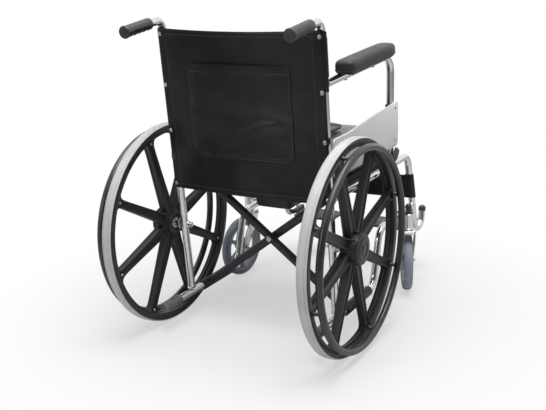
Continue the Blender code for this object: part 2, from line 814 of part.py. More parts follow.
def build_back_upholstery():
    """The vinyl back: level loops lofted up the rake of the canes."""
    mesh = bpy.data.meshes.new("back_upholstery")
    form = bmesh.new()
    rings = []
    for row in range(BACK_ROWS + 1):
        up = row / BACK_ROWS
        height = BACK_HEM_HEIGHT + (BACK_TOP_HEIGHT - BACK_HEM_HEIGHT) * up
        rings.append([form.verts.new(placed(x, cane_reach(height) + y, height)) for x, y in back_section(up)])
    count = len(rings[0])
    for low, high in zip(rings, rings[1:]):
        for i in range(count):
            j = (i + 1) % count
            form.faces.new((low[i], low[j], high[j], high[i]))
    form.faces.new(rings[0])
    form.faces.new(rings[-1])
    bmesh.ops.recalc_face_normals(form, faces=form.faces)
    form.to_mesh(mesh)
    form.free()
    back = add_object("back_upholstery", mesh, VINYL)
    bend = GRIP_HEIGHT - CANE_BEND_RADIUS - TUBE_RADIUS / 3
    arm = arm_height(cane_reach(ARM_CANE_HEIGHT))
    notches = []
    for side in (1, -1):
        notches.append(back_notch("bend_notch", side, bend, GRIP_HEIGHT + TUBE_RADIUS, 3 * TUBE_RADIUS))
        low = BACK_HEM_HEIGHT - TUBE_RADIUS
        high = arm + TUBE_RADIUS + BACK_NOTCH_MARGIN
        notches.append(back_notch("arm_notch", side, low, high, 0))
    cut(back, *notches)


def build_calf_strap():
    """The strap behind the calves, a loop round both front tubes, drawn square to the tubes."""
    slant = atan2(FRONT_TUBE_SLOPE, 1)
    middle = (STRAP_LOW + STRAP_HIGH) / 2
    inner = (TUBE_RADIUS + BORE_PLAY) / cos(pi / 16)
    outer = inner + STRAP_THICKNESS
    neck = radians(20)
    half = outer * sin(neck)
    right = circle((-FRAME_OFFSET, 0), outer, 14, neck, 2 * pi - 2 * neck)
    left = circle((FRAME_OFFSET, 0), outer, 14, pi + neck, 2 * pi - 2 * neck)
    shares = [step / 4 for step in range(-3, 4)]
    rear = [(-share * FRAME_OFFSET, half + STRAP_BOW * (1 - share**2)) for share in shares]
    front = [(share * FRAME_OFFSET, STRAP_BOW * (1 - share**2) - half) for share in shares]
    holes = [circle((side * FRAME_OFFSET, 0), inner, 16) for side in (1, -1)]
    length = (STRAP_HIGH - STRAP_LOW) * hypot(1, FRONT_TUBE_SLOPE)
    strap = flat_shape("calf_strap", [rear + right + front + left] + holes, length, VINYL)
    strap.location = placed(0, front_tube_reach(middle), middle)
    strap.rotation_euler = (-slant, 0, 0)


def build_axle(side):
    """The boss welded to the cane with the axle that the wheel turns on."""
    inner_x = side * (OUTER_FACE + GAP)
    boss_x = side * (OUTER_FACE + GAP + AXLE_BOSS_THICKNESS)
    hub_x = side * (WHEEL_OFFSET - HUB_INNER_REACH - GAP)
    tip_x = side * (WHEEL_OFFSET + HUB_OUTER_REACH + HUB_CAP_DEPTH / 2)
    start = placed(inner_x, 0, AXLE_HEIGHT)
    tip = placed(tip_x, 0, AXLE_HEIGHT)
    axle = rod(side_name("axle", side), start, tip, AXLE_RADIUS, CHROME, 16)
    face = placed(boss_x, 0, AXLE_HEIGHT)
    boss = rod(side_name("axle_boss", side), start, face, AXLE_BOSS_RADIUS, CHROME, 24)
    seat = placed(boss_x - side * GAP, 0, AXLE_HEIGHT)
    end = placed(hub_x, 0, AXLE_HEIGHT)
    nut = rod(side_name("axle_nut", side), seat, end, AXLE_NUT_RADIUS, CHROME, 6)
    join(axle, boss, nut)


def build_rear_wheel(side):
    """Tyre, spoked wheel and hub cap, all turned about the rear axle."""
    centre = placed(side * WHEEL_OFFSET, 0, AXLE_HEIGHT)
    axis = (side, 0, 0)
    half_step = pi / TYRE_SIDES
    half = TYRE_WIDTH / 2
    tread_foot = TYRE_RADIUS - TREAD_HEIGHT
    bead = half - RIM_WALL - GAP
    floor = TYRE_RADIUS - RIM_DEPTH + GAP
    tread = [
        (TYRE_RADIUS, -half + TYRE_SHOULDER),
        (tread_foot, -half),
        (tread_foot, -bead),
        (floor, -bead),
        (floor, bead),
        (tread_foot, bead),
        (tread_foot, half),
        (TYRE_RADIUS, half - TYRE_SHOULDER),
    ]
    name = side_name("rear_tyre", side)
    turned(name, tread, centre, TYRE, TYRE_SIDES, axis, half_step, ring=True)
    lip = tread_foot - GAP
    base = TYRE_RADIUS - RIM_DEPTH
    inside = base - 2 * RIM_WALL
    channel = [
        (lip, half),
        (lip, half - RIM_WALL),
        (base, half - RIM_WALL),
        (base, -half + RIM_WALL),
        (lip, -half + RIM_WALL),
        (lip, -half),
        (inside, -half),
        (inside, half),
    ]
    name = side_name("mag_wheel", side)
    wheel = turned(name, channel, centre, BLACK_PLASTIC, TYRE_SIDES, axis, half_step, ring=True)
    barrel = [
        (0, HUB_OUTER_REACH),
        (HUB_RADIUS, HUB_OUTER_REACH),
        (HUB_RADIUS, -half),
        (HUB_RADIUS * 0.6, -HUB_INNER_REACH),
        (0, -HUB_INNER_REACH),
    ]
    hub = turned(side_name("hub", side), barrel, centre, BLACK_PLASTIC, 24, axis)
    spokes = [build_spoke(side, index, centre, inside) for index in range(SPOKE_COUNT)]
    join(wheel, hub, *spokes)
    reach = WHEEL_OFFSET + HUB_OUTER_REACH + HUB_CAP_DEPTH
    bore = rod(
        side_name("hub_bore", side),
        placed(side * (WHEEL_OFFSET - 2 * HUB_INNER_REACH), 0, AXLE_HEIGHT),
        placed(side * reach, 0, AXLE_HEIGHT),
        (AXLE_RADIUS + BORE_PLAY) / cos(pi / 16),
        BLACK_PLASTIC,
        16,
    )
    cut(wheel, bore)
    cap_bore = (AXLE_RADIUS + BORE_PLAY) / cos(pi / 24)
    depth = HUB_CAP_DEPTH
    turned(
        side_name("hub_cap", side),
        [
            (0, depth),
            (HUB_CAP_RADIUS * 0.8, depth),
            (HUB_CAP_RADIUS, depth * 0.6),
            (HUB_CAP_RADIUS, GAP),
            (cap_bore, GAP),
            (cap_bore, depth * 0.6),
            (0, depth * 0.6),
        ],
        centre + Vector((side * HUB_OUTER_REACH, 0, 0)),
        BLACK_PLASTIC,
        24,
        axis,
    )


def build_spoke(side, index, centre, inside):
    """One tapered spoke from inside the hub into the rim, turned from straight up to the rear."""
    start = HUB_RADIUS * 0.6
    end = inside + RIM_WALL
    length = end - start
    mesh = bpy.data.meshes.new("spoke")
    form = bmesh.new()
    bmesh.ops.create_cube(form, size=1.0)
    for vert in form.verts:
        share = vert.co.z + 0.5
        width = SPOKE_ROOT_WIDTH + (SPOKE_TIP_WIDTH - SPOKE_ROOT_WIDTH) * share
        vert.co = Vector((vert.co.x * SPOKE_THICKNESS, vert.co.y * width, start + share * length))
    form.to_mesh(mesh)
    form.free()
    spoke = add_object(f"{side_name('spoke', side)}_{index}", mesh, BLACK_PLASTIC)
    spoke.location = centre
    spoke.rotation_euler = (-(SPOKE_TURN + 2 * pi * index / SPOKE_COUNT), 0, 0)
    return spoke


def build_handrim(side):
    """The push ring, held off the wheel by a lug at each spoke."""
    x = side * (WHEEL_OFFSET + HANDRIM_STANDOFF)
    section = circle((HANDRIM_RING_RADIUS, 0), HANDRIM_TUBE_RADIUS, HANDRIM_TUBE_SIDES)[::-1]
    ring = turned(
        side_name("handrim", side),
        section,
        placed(x, 0, AXLE_HEIGHT),
        HANDRIM,
        HANDRIM_SIDES,
        (side, 0, 0),
        pi / HANDRIM_SIDES,
        ring=True,
    )
    near = side * (WHEEL_OFFSET + TYRE_WIDTH / 2 + GAP)
    lugs = []
    for index in range(SPOKE_COUNT):
        turn = SPOKE_TURN + 2 * pi * index / SPOKE_COUNT
        reach = LUG_RING_RADIUS * sin(turn)
        height = AXLE_HEIGHT + LUG_RING_RADIUS * cos(turn)
        name = f"{side_name('lug', side)}_{index}"
        lugs.append(rod(name, placed(near, reach, height), placed(x, reach, height), LUG_RADIUS, HANDRIM, 6))
    join(ring, *lugs)


def build_caster_housing(side):
    """The upright tube that holds the caster's stem, welded to the lower rail, with its cap."""
    x = side * CASTER_OFFSET
    foot = FORK_CROWN_TOP + GAP
    housing = rod(
        side_name("caster_housing", side),
        placed(x, CASTER_REACH, foot),
        placed(x, CASTER_REACH, HOUSING_TOP),
        HOUSING_RADIUS,
        CHROME,
        16,
    )
    near = side * (OUTER_FACE + GAP)
    far = side * (CASTER_OFFSET - HOUSING_RADIUS / 2)
    arm = box(
        side_name("housing_arm", side),
        placed(min(near, far), CASTER_REACH - HOUSING_RADIUS * 0.7, FRONT_RAIL_HEIGHT - TUBE_RADIUS),
        placed(max(near, far), CASTER_REACH + HOUSING_RADIUS * 0.7, FRONT_RAIL_HEIGHT + TUBE_RADIUS),
        CHROME,
    )
    join(housing, arm)
    turned(
        side_name("stem_cap", side),
        dome_profile(HOUSING_CAP_RADIUS, HOUSING_CAP_HEIGHT - GAP),
        placed(x, CASTER_REACH, HOUSING_TOP + GAP),
        RUBBER,
        12,
    )


def build_caster(side, turn):
    """A swivelling fork with its trailing wheel. Local +Y is the way that the wheel trails."""
    pivot = bpy.data.objects.new(side_name("caster_pivot", side), None)
    PARTS.objects.link(pivot)
    pivot.location = placed(side * CASTER_OFFSET, CASTER_REACH, 0)
    pivot.rotation_euler = (0, 0, -turn)
    half = CASTER_WIDTH / 2
    blade_face = half + FORK_GAP
    outer_face = blade_face + FORK_BLADE
    low = FORK_CROWN_TOP - FORK_CROWN_THICKNESS
    fork = box(
        side_name("caster_fork", side),
        Vector((FORK_BLADE / 2 - outer_face, -FORK_CROWN_HALF_LENGTH, low)),
        Vector((outer_face - FORK_BLADE / 2, FORK_CROWN_HALF_LENGTH, FORK_CROWN_TOP)),
        CHROME,
    )
    axle = (CASTER_TRAIL, CASTER_AXLE_HEIGHT)
    eye = CASTER_NUT_RADIUS * 1.6
    crown = FORK_CROWN_HALF_LENGTH - GAP
    outline = circle(axle, eye, 6, pi, pi) + [
        (crown, low),
        (crown, FORK_CROWN_TOP - GAP),
        (-crown, FORK_CROWN_TOP - GAP),
        (-crown, low),
    ]
    extras = []
    for face in (-1, 1):
        blade = flat_shape(f"{side_name('blade', side)}_{face + 1}", [outline], FORK_BLADE, CHROME)
        blade.rotation_euler = upright_turn()
        blade.location = Vector((face * (blade_face + FORK_BLADE / 2), 0, 0))
        extras.append(to_mesh(blade))
        start = Vector((face * (outer_face - FORK_BLADE / 2), *axle))
        end = Vector((face * (outer_face + CASTER_NUT_LENGTH), *axle))
        extras.append(rod(f"{side_name('nut', side)}_{face + 1}", start, end, CASTER_NUT_RADIUS, CHROME, 6))
    span = outer_face - FORK_BLADE / 3
    start = Vector((-span, *axle))
    end = Vector((span, *axle))
    extras.append(rod(side_name("caster_pin", side), start, end, CASTER_AXLE_RADIUS, CHROME))
    rim = CASTER_RADIUS - CASTER_TREAD
    shoulder = CASTER_TREAD * 0.45
    tyre = turned(
        side_name("caster_tyre", side),
        [
            (CASTER_RADIUS - shoulder, half),
            (CASTER_RADIUS, half / 2),
            (CASTER_RADIUS, -half / 2),
            (CASTER_RADIUS - shoulder, -half),
            (rim, -half * 0.85),
            (rim, half * 0.85),
        ],
        Vector((0, *axle)),
        CASTER_RUBBER,
        CASTER_SIDES,
        (1, 0, 0),
        pi / CASTER_SIDES,
        ring=True,
    )
    seat = rim - GAP / cos(pi / CASTER_SIDES)
    wheel = turned(
        side_name("caster_wheel", side),
        [(seat, half * 0.8), (seat, -half * 0.8), (seat * 0.9, -half * 0.8), (seat * 0.9, half * 0.8)],
        Vector((0, *axle)),
        CASTER_PLASTIC,
        CASTER_SIDES,
        (1, 0, 0),
        pi / CASTER_SIDES,
        ring=True,
    )
    hub_face = half + FORK_GAP / 2
    hub = rod(
        side_name("caster_hub", side),
        Vector((-hub_face, *axle)),
        Vector((hub_face, *axle)),
        rim * 0.22,
        CASTER_PLASTIC,
        16,
    )
    bars = []
    for index in range(CASTER_SPOKES // 2):
        reach = seat * 0.95
        bar = box(
            f"{side_name('caster_spoke', side)}_{index}",
            Vector((-half * 0.5, -half * 0.45, -reach)),
            Vector((half * 0.5, half * 0.45, reach)),
            CASTER_PLASTIC,
        )
        bar.location = Vector((0, *axle))
        bar.rotation_euler = (pi * index / (CASTER_SPOKES // 2), 0, 0)
        bars.append(bar)
    bore = rod(
        side_name("caster_bore", side),
        Vector((-2 * hub_face, *axle)),
        Vector((2 * hub_face, *axle)),
        (CASTER_AXLE_RADIUS + BORE_PLAY) / cos(pi / 12),
        CASTER_PLASTIC,
    )
    for piece in [fork, tyre, wheel, hub, bore, *extras, *bars]:
        piece.parent = pivot
    join(fork, *extras)
    join(wheel, hub, *bars)
    cut(wheel, bore)


def build_footplate(side):
    """The hinge block and pin on the hook, and the plate that flips up about the pin."""
    hinge = FRAME_OFFSET - TUBE_RADIUS - GAP - HINGE_RADIUS
    rear = front_tube_reach(HOOK_HEIGHT) + TUBE_RADIUS / 2
    front = HOOK_REACH + TUBE_RADIUS / 2
    ear = HINGE_BLOCK_LENGTH
    ears = []
    for word, start in (("ear_rear", rear - ear), ("ear_front", front)):
        ears.append(
            box(
                side_name(word, side),
                placed(side * hinge - HINGE_RADIUS, start, HINGE_HEIGHT - HINGE_RADIUS),
                placed(side * hinge + HINGE_RADIUS, start + ear, HINGE_HEIGHT + HINGE_RADIUS),
                BLACK_PLASTIC,
            )
        )
    pin = rod(
        side_name("footplate_hinge", side),
        placed(side * hinge, front + ear / 2, HINGE_HEIGHT),
        placed(side * hinge, rear - ear / 2, HINGE_HEIGHT),
        HINGE_PIN_RADIUS,
        BLACK_PLASTIC,
    )
    join(pin, *ears)
    barrel_rear = rear - ear - GAP
    barrel_front = front + ear + GAP
    outer = hinge - HINGE_RADIUS * 1.6
    corner = PLATE_CORNER
    low = PLATE_INNER_OFFSET
    outline = (
        circle((low + corner, AXLE_PLACE - FRONT_REACH + corner), corner, 4, pi, pi / 2)
        + [(outer, AXLE_PLACE - FRONT_REACH), (outer, AXLE_PLACE + PLATE_REAR)]
        + circle((low + corner, AXLE_PLACE + PLATE_REAR - corner), corner, 4, pi / 2, pi / 2)
    )
    outline = [(side * x, y) for x, y in outline]
    plate = flat_shape(side_name("footplate", side), [outline], PLATE_THICKNESS, BLACK_PLASTIC)
    plate.location = Vector((0, 0, HINGE_HEIGHT - PLATE_DROP - PLATE_THICKNESS / 2))
    plate = to_mesh(plate)
    barrel = rod(
        side_name("barrel", side),
        placed(side * hinge, barrel_front, HINGE_HEIGHT),
        placed(side * hinge, barrel_rear, HINGE_HEIGHT),
        HINGE_RADIUS,
        BLACK_PLASTIC,
        16,
    )
    tab_x = (side * (outer - PLATE_THICKNESS), side * hinge)
    tab = box(
        side_name("tab", side),
        placed(min(tab_x), barrel_front, HINGE_HEIGHT - PLATE_DROP - PLATE_THICKNESS * 0.9),
        placed(max(tab_x), barrel_rear, HINGE_HEIGHT - PLATE_DROP / 2),
        BLACK_PLASTIC,
    )
    bore = rod(
        side_name("barrel_bore", side),
        placed(side * hinge, barrel_front - ear, HINGE_HEIGHT),
        placed(side * hinge, barrel_rear + ear, HINGE_HEIGHT),
        (HINGE_PIN_RADIUS + BORE_PLAY) / cos(pi / 12),
        BLACK_PLASTIC,
    )
    join(plate, barrel, tab)
    cut(plate, bore)


def lock_bar(name, x, start, end, width, material):
    """A flat bar with round ends between two (reach, height) points, bored for its pivot pin."""
    length = hypot(end[0] - start[0], end[1] - start[1])
    slant = atan2(end[1] - start[1], end[0] - start[0])
    half = width / 2
    outline = circle((0, 0), half, 6, pi / 2, pi) + circle((length, 0), half, 6, -pi / 2, pi)
    bar = flat_shape(name, [outline], LOCK_BAR_THICKNESS, material)
    bar.rotation_euler = (Matrix.Rotation(slant, 3, "X") @ upright_turn().to_matrix()).to_euler()
    bar.location = placed(x, *start)
    bar = to_mesh(bar)
    reach = Vector((LOCK_BAR_THICKNESS, 0, 0))
    spot = placed(x, *start)
    radius = (LOCK_PIN_RADIUS + BORE_PLAY) / cos(pi / 12)
    cut(bar, rod(name + "_bore", spot - reach, spot + reach, radius, material))
    return bar


def shoe_spot():
    """Where the shoe's centre rests, a clearance away from the tyre's tread."""
    away = TYRE_RADIUS + LOCK_SHOE_RADIUS + LOCK_SHOE_CLEARANCE
    return (-away * cos(LOCK_SHOE_ANGLE), AXLE_HEIGHT + away * sin(LOCK_SHOE_ANGLE))


def build_wheel_lock(side):
    """The bracket on the side rail, the hand lever with its grip and the arm with the shoe."""
    lever_pin = (LOCK_LEVER_REACH, LOCK_LEVER_HEIGHT)
    shoe_pin = (LOCK_SHOE_REACH, LOCK_SHOE_PIVOT_HEIGHT)
    near = OUTER_FACE + GAP
    face = near + LOCK_PLATE_THICKNESS
    layer = LOCK_BAR_THICKNESS + GAP
    shoe_x = face + GAP + LOCK_BAR_THICKNESS / 2
    lever_x = shoe_x + layer
    margin = LOCK_BAR_WIDTH * 0.6
    outline = [
        (lever_pin[0] - margin, SIDE_RAIL_HEIGHT + TUBE_RADIUS),
        (lever_pin[0] - margin, lever_pin[1] - margin),
        (shoe_pin[0] - margin, shoe_pin[1] - margin),
        (shoe_pin[0] + margin, shoe_pin[1] - margin),
        (shoe_pin[0] + margin, SIDE_RAIL_HEIGHT + TUBE_RADIUS),
    ]
    plate = flat_shape(side_name("lock_bracket", side), [outline], LOCK_PLATE_THICKNESS, CHROME)
    plate.rotation_euler = upright_turn()
    plate.location = placed(side * (near + LOCK_PLATE_THICKNESS / 2), 0, 0)
    plate = to_mesh(plate)
    pins = []
    for word, spot, bar_x in (("lever_pin", lever_pin, lever_x), ("shoe_pin", shoe_pin, shoe_x)):
        head = bar_x + LOCK_BAR_THICKNESS / 2 + GAP
        start = placed(side * (face - LOCK_PLATE_THICKNESS / 2), *spot)
        neck = placed(side * (head + LOCK_PIN_RADIUS / 4), *spot)
        pins.append(rod(side_name(word, side), start, neck, LOCK_PIN_RADIUS, CHROME))
        cap = placed(side * head, *spot)
        end = placed(side * (head + LOCK_PIN_RADIUS / 2), *spot)
        pins.append(rod(side_name(word + "_head", side), cap, end, LOCK_PIN_RADIUS * 1.6, CHROME))
    join(plate, *pins)
    way = Vector((0, -sin(LOCK_LEVER_TILT), cos(LOCK_LEVER_TILT)))
    bar_end = (lever_pin[0] + way.y * LOCK_LEVER_LENGTH, lever_pin[1] + way.z * LOCK_LEVER_LENGTH)
    lock_bar(side_name("lock_lever", side), side * lever_x, lever_pin, bar_end, LOCK_BAR_WIDTH, CHROME)
    half = Vector((LOCK_TIP_THICKNESS, LOCK_TIP_WIDTH, LOCK_TIP_LENGTH)) / 2
    tip = box(side_name("lock_grip", side), -half, half, RUBBER, 0.003)
    run = LOCK_LEVER_LENGTH + LOCK_BAR_WIDTH / 2 + GAP + LOCK_TIP_LENGTH / 2
    tip.location = placed(side * lever_x, *lever_pin) + way * run
    tip.rotation_euler = (LOCK_LEVER_TILT, 0, 0)
    shoe = shoe_spot()
    arm = lock_bar(side_name("lock_shoe", side), side * shoe_x, shoe_pin, shoe, LOCK_BAR_WIDTH * 0.8, CHROME)
    shoe_end = side * (WHEEL_OFFSET + TYRE_WIDTH / 2)
    start = placed(side * shoe_x, *shoe)
    join(arm, rod(side_name("shoe_rod", side), start, placed(shoe_end, *shoe), LOCK_SHOE_RADIUS, CHROME))


def build_chair():
    for side in (1, -1):
        build_back_cane(side)
        build_side_rail(side)
        build_lower_rail(side)
        build_sleeves(side)
        build_armrest(side)
        build_side_panel(side)
        build_axle(side)
        build_rear_wheel(side)
        build_handrim(side)
        build_caster_housing(side)
        build_footplate(side)
        build_wheel_lock(side)
    build_caster(1, CASTER_TURN_LEFT)
    build_caster(-1, CASTER_TURN_RIGHT)
    build_braces()
    build_seat()
    build_pan()
    build_back_upholstery()
    build_calf_strap()


clear_scene()
PARTS = new_collection("commode_wheelchair")
CUTTERS = new_collection("cutters")
CHROME = make_material("chrome", (0.80, 0.81, 0.82), 0.18, 1.0)
BLACK_STEEL = make_material("black_steel", (0.030, 0.030, 0.032), 0.45, 0.0)
BLACK_PLASTIC = make_material("black_plastic", (0.025, 0.025, 0.027), 0.50, 0.0)
TYRE = make_material("grey_tyre", (0.46, 0.46, 0.45), 0.75, 0.0)
HANDRIM = make_material("handrim", (0.030, 0.030, 0.032), 0.40, 0.0)
RUBBER = make_material("grip_rubber", (0.035, 0.035, 0.037), 0.70, 0.0)
DARK_RUBBER = make_material("tip_rubber", (0.20, 0.20, 0.21), 0.70, 0.0)
PAD = make_material("arm_pad", (0.035, 0.035, 0.037), 0.55, 0.0)
PANEL = make_material("side_panel", (0.86, 0.86, 0.87), 0.40, 0.0)
VINYL = make_material("black_vinyl", (0.018, 0.018, 0.020), 0.42, 0.0)
SEAT_FABRIC = make_material("seat_fabric", (0.022, 0.022, 0.024), 0.80, 0.0)
PAN_PLASTIC = make_material("pan_plastic", (0.040, 0.040, 0.043), 0.45, 0.0)
CASTER_RUBBER = make_material("caster_rubber", (0.30, 0.33, 0.38), 0.60, 0.0)
CASTER_PLASTIC = make_material("caster_plastic", (0.42, 0.43, 0.45), 0.50, 0.0)
build_chair()
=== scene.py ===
"""A folding commode wheelchair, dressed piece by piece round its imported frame."""

import json

from math import atan, atan2, cos, exp, hypot, pi, radians, sin, tan

import bpy
from bpy.props import FloatProperty, FloatVectorProperty, IntProperty, PointerProperty
from mathutils import Matrix, Vector, noise


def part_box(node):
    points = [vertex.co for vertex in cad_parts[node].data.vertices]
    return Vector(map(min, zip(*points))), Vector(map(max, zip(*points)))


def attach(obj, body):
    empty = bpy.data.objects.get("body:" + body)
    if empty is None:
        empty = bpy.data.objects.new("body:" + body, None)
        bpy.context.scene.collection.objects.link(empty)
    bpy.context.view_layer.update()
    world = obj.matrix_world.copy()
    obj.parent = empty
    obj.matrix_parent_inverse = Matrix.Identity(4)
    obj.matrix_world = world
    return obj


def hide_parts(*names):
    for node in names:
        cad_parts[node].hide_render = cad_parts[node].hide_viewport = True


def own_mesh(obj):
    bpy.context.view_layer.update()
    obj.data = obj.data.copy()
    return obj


bl_info = {
    "name": "Commode wheelchair",
    "version": (1, 0, 0),
    "blender": (4, 5, 0),
    "location": "View3D > Sidebar > Wheelchair",
    "description": "Builds the visible pieces of a folding commode wheelchair",
    "category": "Object",
}

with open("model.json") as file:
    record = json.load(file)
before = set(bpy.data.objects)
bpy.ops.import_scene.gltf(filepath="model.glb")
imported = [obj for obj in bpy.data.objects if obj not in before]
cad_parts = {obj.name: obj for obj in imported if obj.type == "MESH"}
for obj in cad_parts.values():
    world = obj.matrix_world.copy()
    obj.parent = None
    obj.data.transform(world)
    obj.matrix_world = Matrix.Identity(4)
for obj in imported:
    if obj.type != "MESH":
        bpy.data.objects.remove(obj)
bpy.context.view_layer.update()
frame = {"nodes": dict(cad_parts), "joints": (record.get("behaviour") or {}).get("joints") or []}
JOINTS = {joint["name"]: joint for joint in frame["joints"]}
SIDES = (("left", 1), ("right", -1))
AXLE = Vector(JOINTS["wheel_spin_left"]["pos_m"])
AXLE_PLACE = AXLE.y
FRAME_OFFSET = 0.241
FLOOR_CLEARANCE = 0.0003
MERGE_DISTANCE = 0.00002


# Ways of modelling that the pieces share


def at(x, reach, height):
    """A point given by its reach behind (+) or ahead (-) of the rear axle."""
    return Vector((x, AXLE_PLACE + reach, height))


def begin():
    """Leave edit mode with nothing selected, ready for a new primitive."""
    if bpy.context.object and bpy.context.object.mode != "OBJECT":
        bpy.ops.object.mode_set(mode="OBJECT")
    bpy.ops.object.select_all(action="DESELECT")


def only(piece):
    """Select one piece and make it active."""
    begin()
    piece.select_set(True)
    bpy.context.view_layer.objects.active = piece
    return piece


def edit(piece, mode="VERT"):
    """Open a piece in edit mode with its place in its mesh and everything selected."""
    only(piece)
    bpy.ops.object.transform_apply(location=True, rotation=True, scale=True)
    bpy.ops.object.mode_set(mode="EDIT")
    bpy.ops.mesh.select_mode(type=mode)
    bpy.ops.mesh.select_all(action="SELECT")
    return piece


def settle(piece):
    """Close a piece's seams and turn its faces outwards."""
    edit(piece)
    bpy.ops.mesh.remove_doubles(threshold=MERGE_DISTANCE)
    bpy.ops.mesh.normals_make_consistent(inside=False)
    bpy.ops.object.mode_set(mode="OBJECT")
    return piece


def apply_modifier(piece, kind, **settings):
    """Add one modifier with these settings and apply it."""
    only(piece)
    modifier = piece.modifiers.new(kind.title(), kind)
    for key, value in settings.items():
        setattr(modifier, key, value)
    bpy.ops.object.modifier_apply(modifier=modifier.name)
    return piece


def soften(piece, width, segments=2, angle=30):
    """Round the piece's sharp edges."""
    return apply_modifier(
        piece, "BEVEL", width=width, segments=segments, limit_method="ANGLE",
        angle_limit=radians(angle), use_clamp_overlap=True,
    )


def subdivide(piece, levels):
    return apply_modifier(piece, "SUBSURF", levels=levels, render_levels=levels)


def smooth(piece, angle=35):
    """Smooth shading, kept crisp where faces meet at more than the angle."""
    only(piece)
    bpy.ops.object.shade_smooth_by_angle(angle=radians(angle))
    return piece


def dress(piece, name, body, slot, finish, angle=35, replaces=()):
    """Name a finished piece, give it its finish and let it ride on its body."""
    piece.name = name
    piece.data.name = name
    piece.data.materials.clear()
    piece.data.materials.append(FINISHES[finish])
    smooth(piece, angle)
    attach(piece, body)
    if replaces:
        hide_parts(*replaces)
    return piece


def pair(word, piece, body, slot, finish, nodes=(), angle=35):
    """Dress a left-hand piece and its mirror image on the right."""
    for side, twin in (("left", piece), ("right", across(piece))):
        hidden = [f"{node}_{side}" for node in nodes]
        dress(twin, f"{word}_{side}", f"{body}_{side}", slot, finish, angle, hidden)


def first_point(spot):
    """A single vertex in edit mode, from which an outline is drawn."""
    begin()
    bpy.ops.mesh.primitive_plane_add(size=0.01, location=spot)
    piece = edit(bpy.context.object)
    bpy.ops.mesh.merge(type="CENTER")
    return piece


def draw_out(way):
    bpy.ops.mesh.extrude_region_move(TRANSFORM_OT_translate={"value": tuple(way)})


def outline(spots):
    """Draw a line of edges through the points and stay in edit mode."""
    piece = first_point(spots[0])
    for last, spot in zip(spots, spots[1:]):
        draw_out(Vector(spot) - Vector(last))
    return piece


def arc(centre, radius, start, sweep, steps):
    """Points along part of a circle, with both its ends."""
    turns = [start + sweep * step / steps for step in range(steps + 1)]
    return [(centre[0] + radius * cos(turn), centre[1] + radius * sin(turn)) for turn in turns]


def spread(start, end, count):
    """Even steps from start to end, with both ends."""
    return [start + (end - start) * step / count for step in range(count + 1)]


def lathe(profile, centre, axis, steps):
    """Spin a closed profile of (along the axis, radius) points round the axis."""
    axis = Vector(axis).normalized()
    out = Vector((0, 0, 1)) if abs(axis.z) < 0.5 else Vector((0, 1, 0))
    spots = [Vector(centre) + axis * along + out * radius for along, radius in profile]
    piece = outline(spots)
    bpy.ops.mesh.select_all(action="SELECT")
    bpy.ops.mesh.spin(steps=steps, dupli=False, angle=2 * pi, center=centre, axis=axis)
    return settle(piece)


def plate(corners, depth):
    """Fill an outline and draw it out by a depth vector."""
    piece = outline(corners)
    bpy.ops.mesh.select_all(action="SELECT")
    bpy.ops.mesh.edge_face_add()
    draw_out(depth)
    return settle(piece)


def tube(spots, radius, bend=0.04, sides=28, turns=10):
    """Draw a circle out along each straight and spin it round each bend."""
    spots = [Vector(spot) for spot in spots]
    way = (spots[1] - spots[0]).normalized()
    begin()
    turn = way.to_track_quat("Z", "Y").to_euler()
    bpy.ops.mesh.primitive_circle_add(
        vertices=sides, radius=radius, location=spots[0], rotation=turn, fill_type="NGON"
    )
    piece = edit(bpy.context.object, "FACE")
    here = spots[0]
    for spot, beyond in zip(spots[1:], spots[2:] + [None]):
        way = (spot - here).normalized()
        if beyond is None:
            draw_out(spot - here)
            continue
        onward = (beyond - spot).normalized()
        angle = way.angle(onward)
        cut = bend * tan(angle / 2)
        end = spot - way * cut
        draw_out(end - here)
        axis = way.cross(onward).normalized()
        centre = end + axis.cross(way) * bend
        steps = max(3, round(turns * angle / (pi / 2)))
        bpy.ops.mesh.spin(steps=steps, dupli=False, angle=-angle, center=centre, axis=axis)
        here = spot + onward * cut
    return settle(piece)


def block(low, high, round_by=0.0, segments=3):
    """A box between two corners with rounded edges."""
    low, high = Vector(low), Vector(high)
    begin()
    bpy.ops.mesh.primitive_cube_add(size=1, location=(low + high) / 2, scale=high - low)
    piece = settle(bpy.context.object)
    return soften(piece, round_by, segments) if round_by else piece


def pin(start, end, radius, sides=24, round_by=0.0):
    """A round bar between two points."""
    piece = tube([start, end], radius, sides=sides)
    return soften(piece, round_by, 2, 50) if round_by else piece


def join(first, *others):
    """Make several pieces one."""
    only(first)
    for other in others:
        other.select_set(True)
    bpy.ops.object.join()
    return first


def carve(piece, cutter, operation="DIFFERENCE"):
    """Cut a piece with another, which is used up."""
    apply_modifier(piece, "BOOLEAN", object=cutter, operation=operation, solver="EXACT")
    bpy.data.objects.remove(cutter)
    return piece


def copy_of(piece, change=None, flipped=False):
    """A copy with its own mesh, moved or mirrored by a matrix."""
    twin = piece.copy()
    twin.data = piece.data.copy()
    bpy.context.collection.objects.link(twin)
    if change is not None:
        twin.data.transform(change)
    if flipped:
        edit(twin, "FACE")
        bpy.ops.mesh.flip_normals()
        begin()
    return twin


def across(piece):
    """The same piece on the chair's other side."""
    return copy_of(piece, Matrix.Scale(-1, 4, (1, 0, 0)), flipped=True)


def round_about(piece, centre, axis, count):
    """Copies of a piece turned round an axis, joined to it."""
    twins = []
    for index in range(1, count):
        turn = Matrix.Rotation(2 * pi * index / count, 4, Vector(axis))
        about = Matrix.Translation(centre) @ turn @ Matrix.Translation(-Vector(centre))
        twins.append(copy_of(piece, about))
    return join(piece, *twins)


# Sizes and colours that a user would change


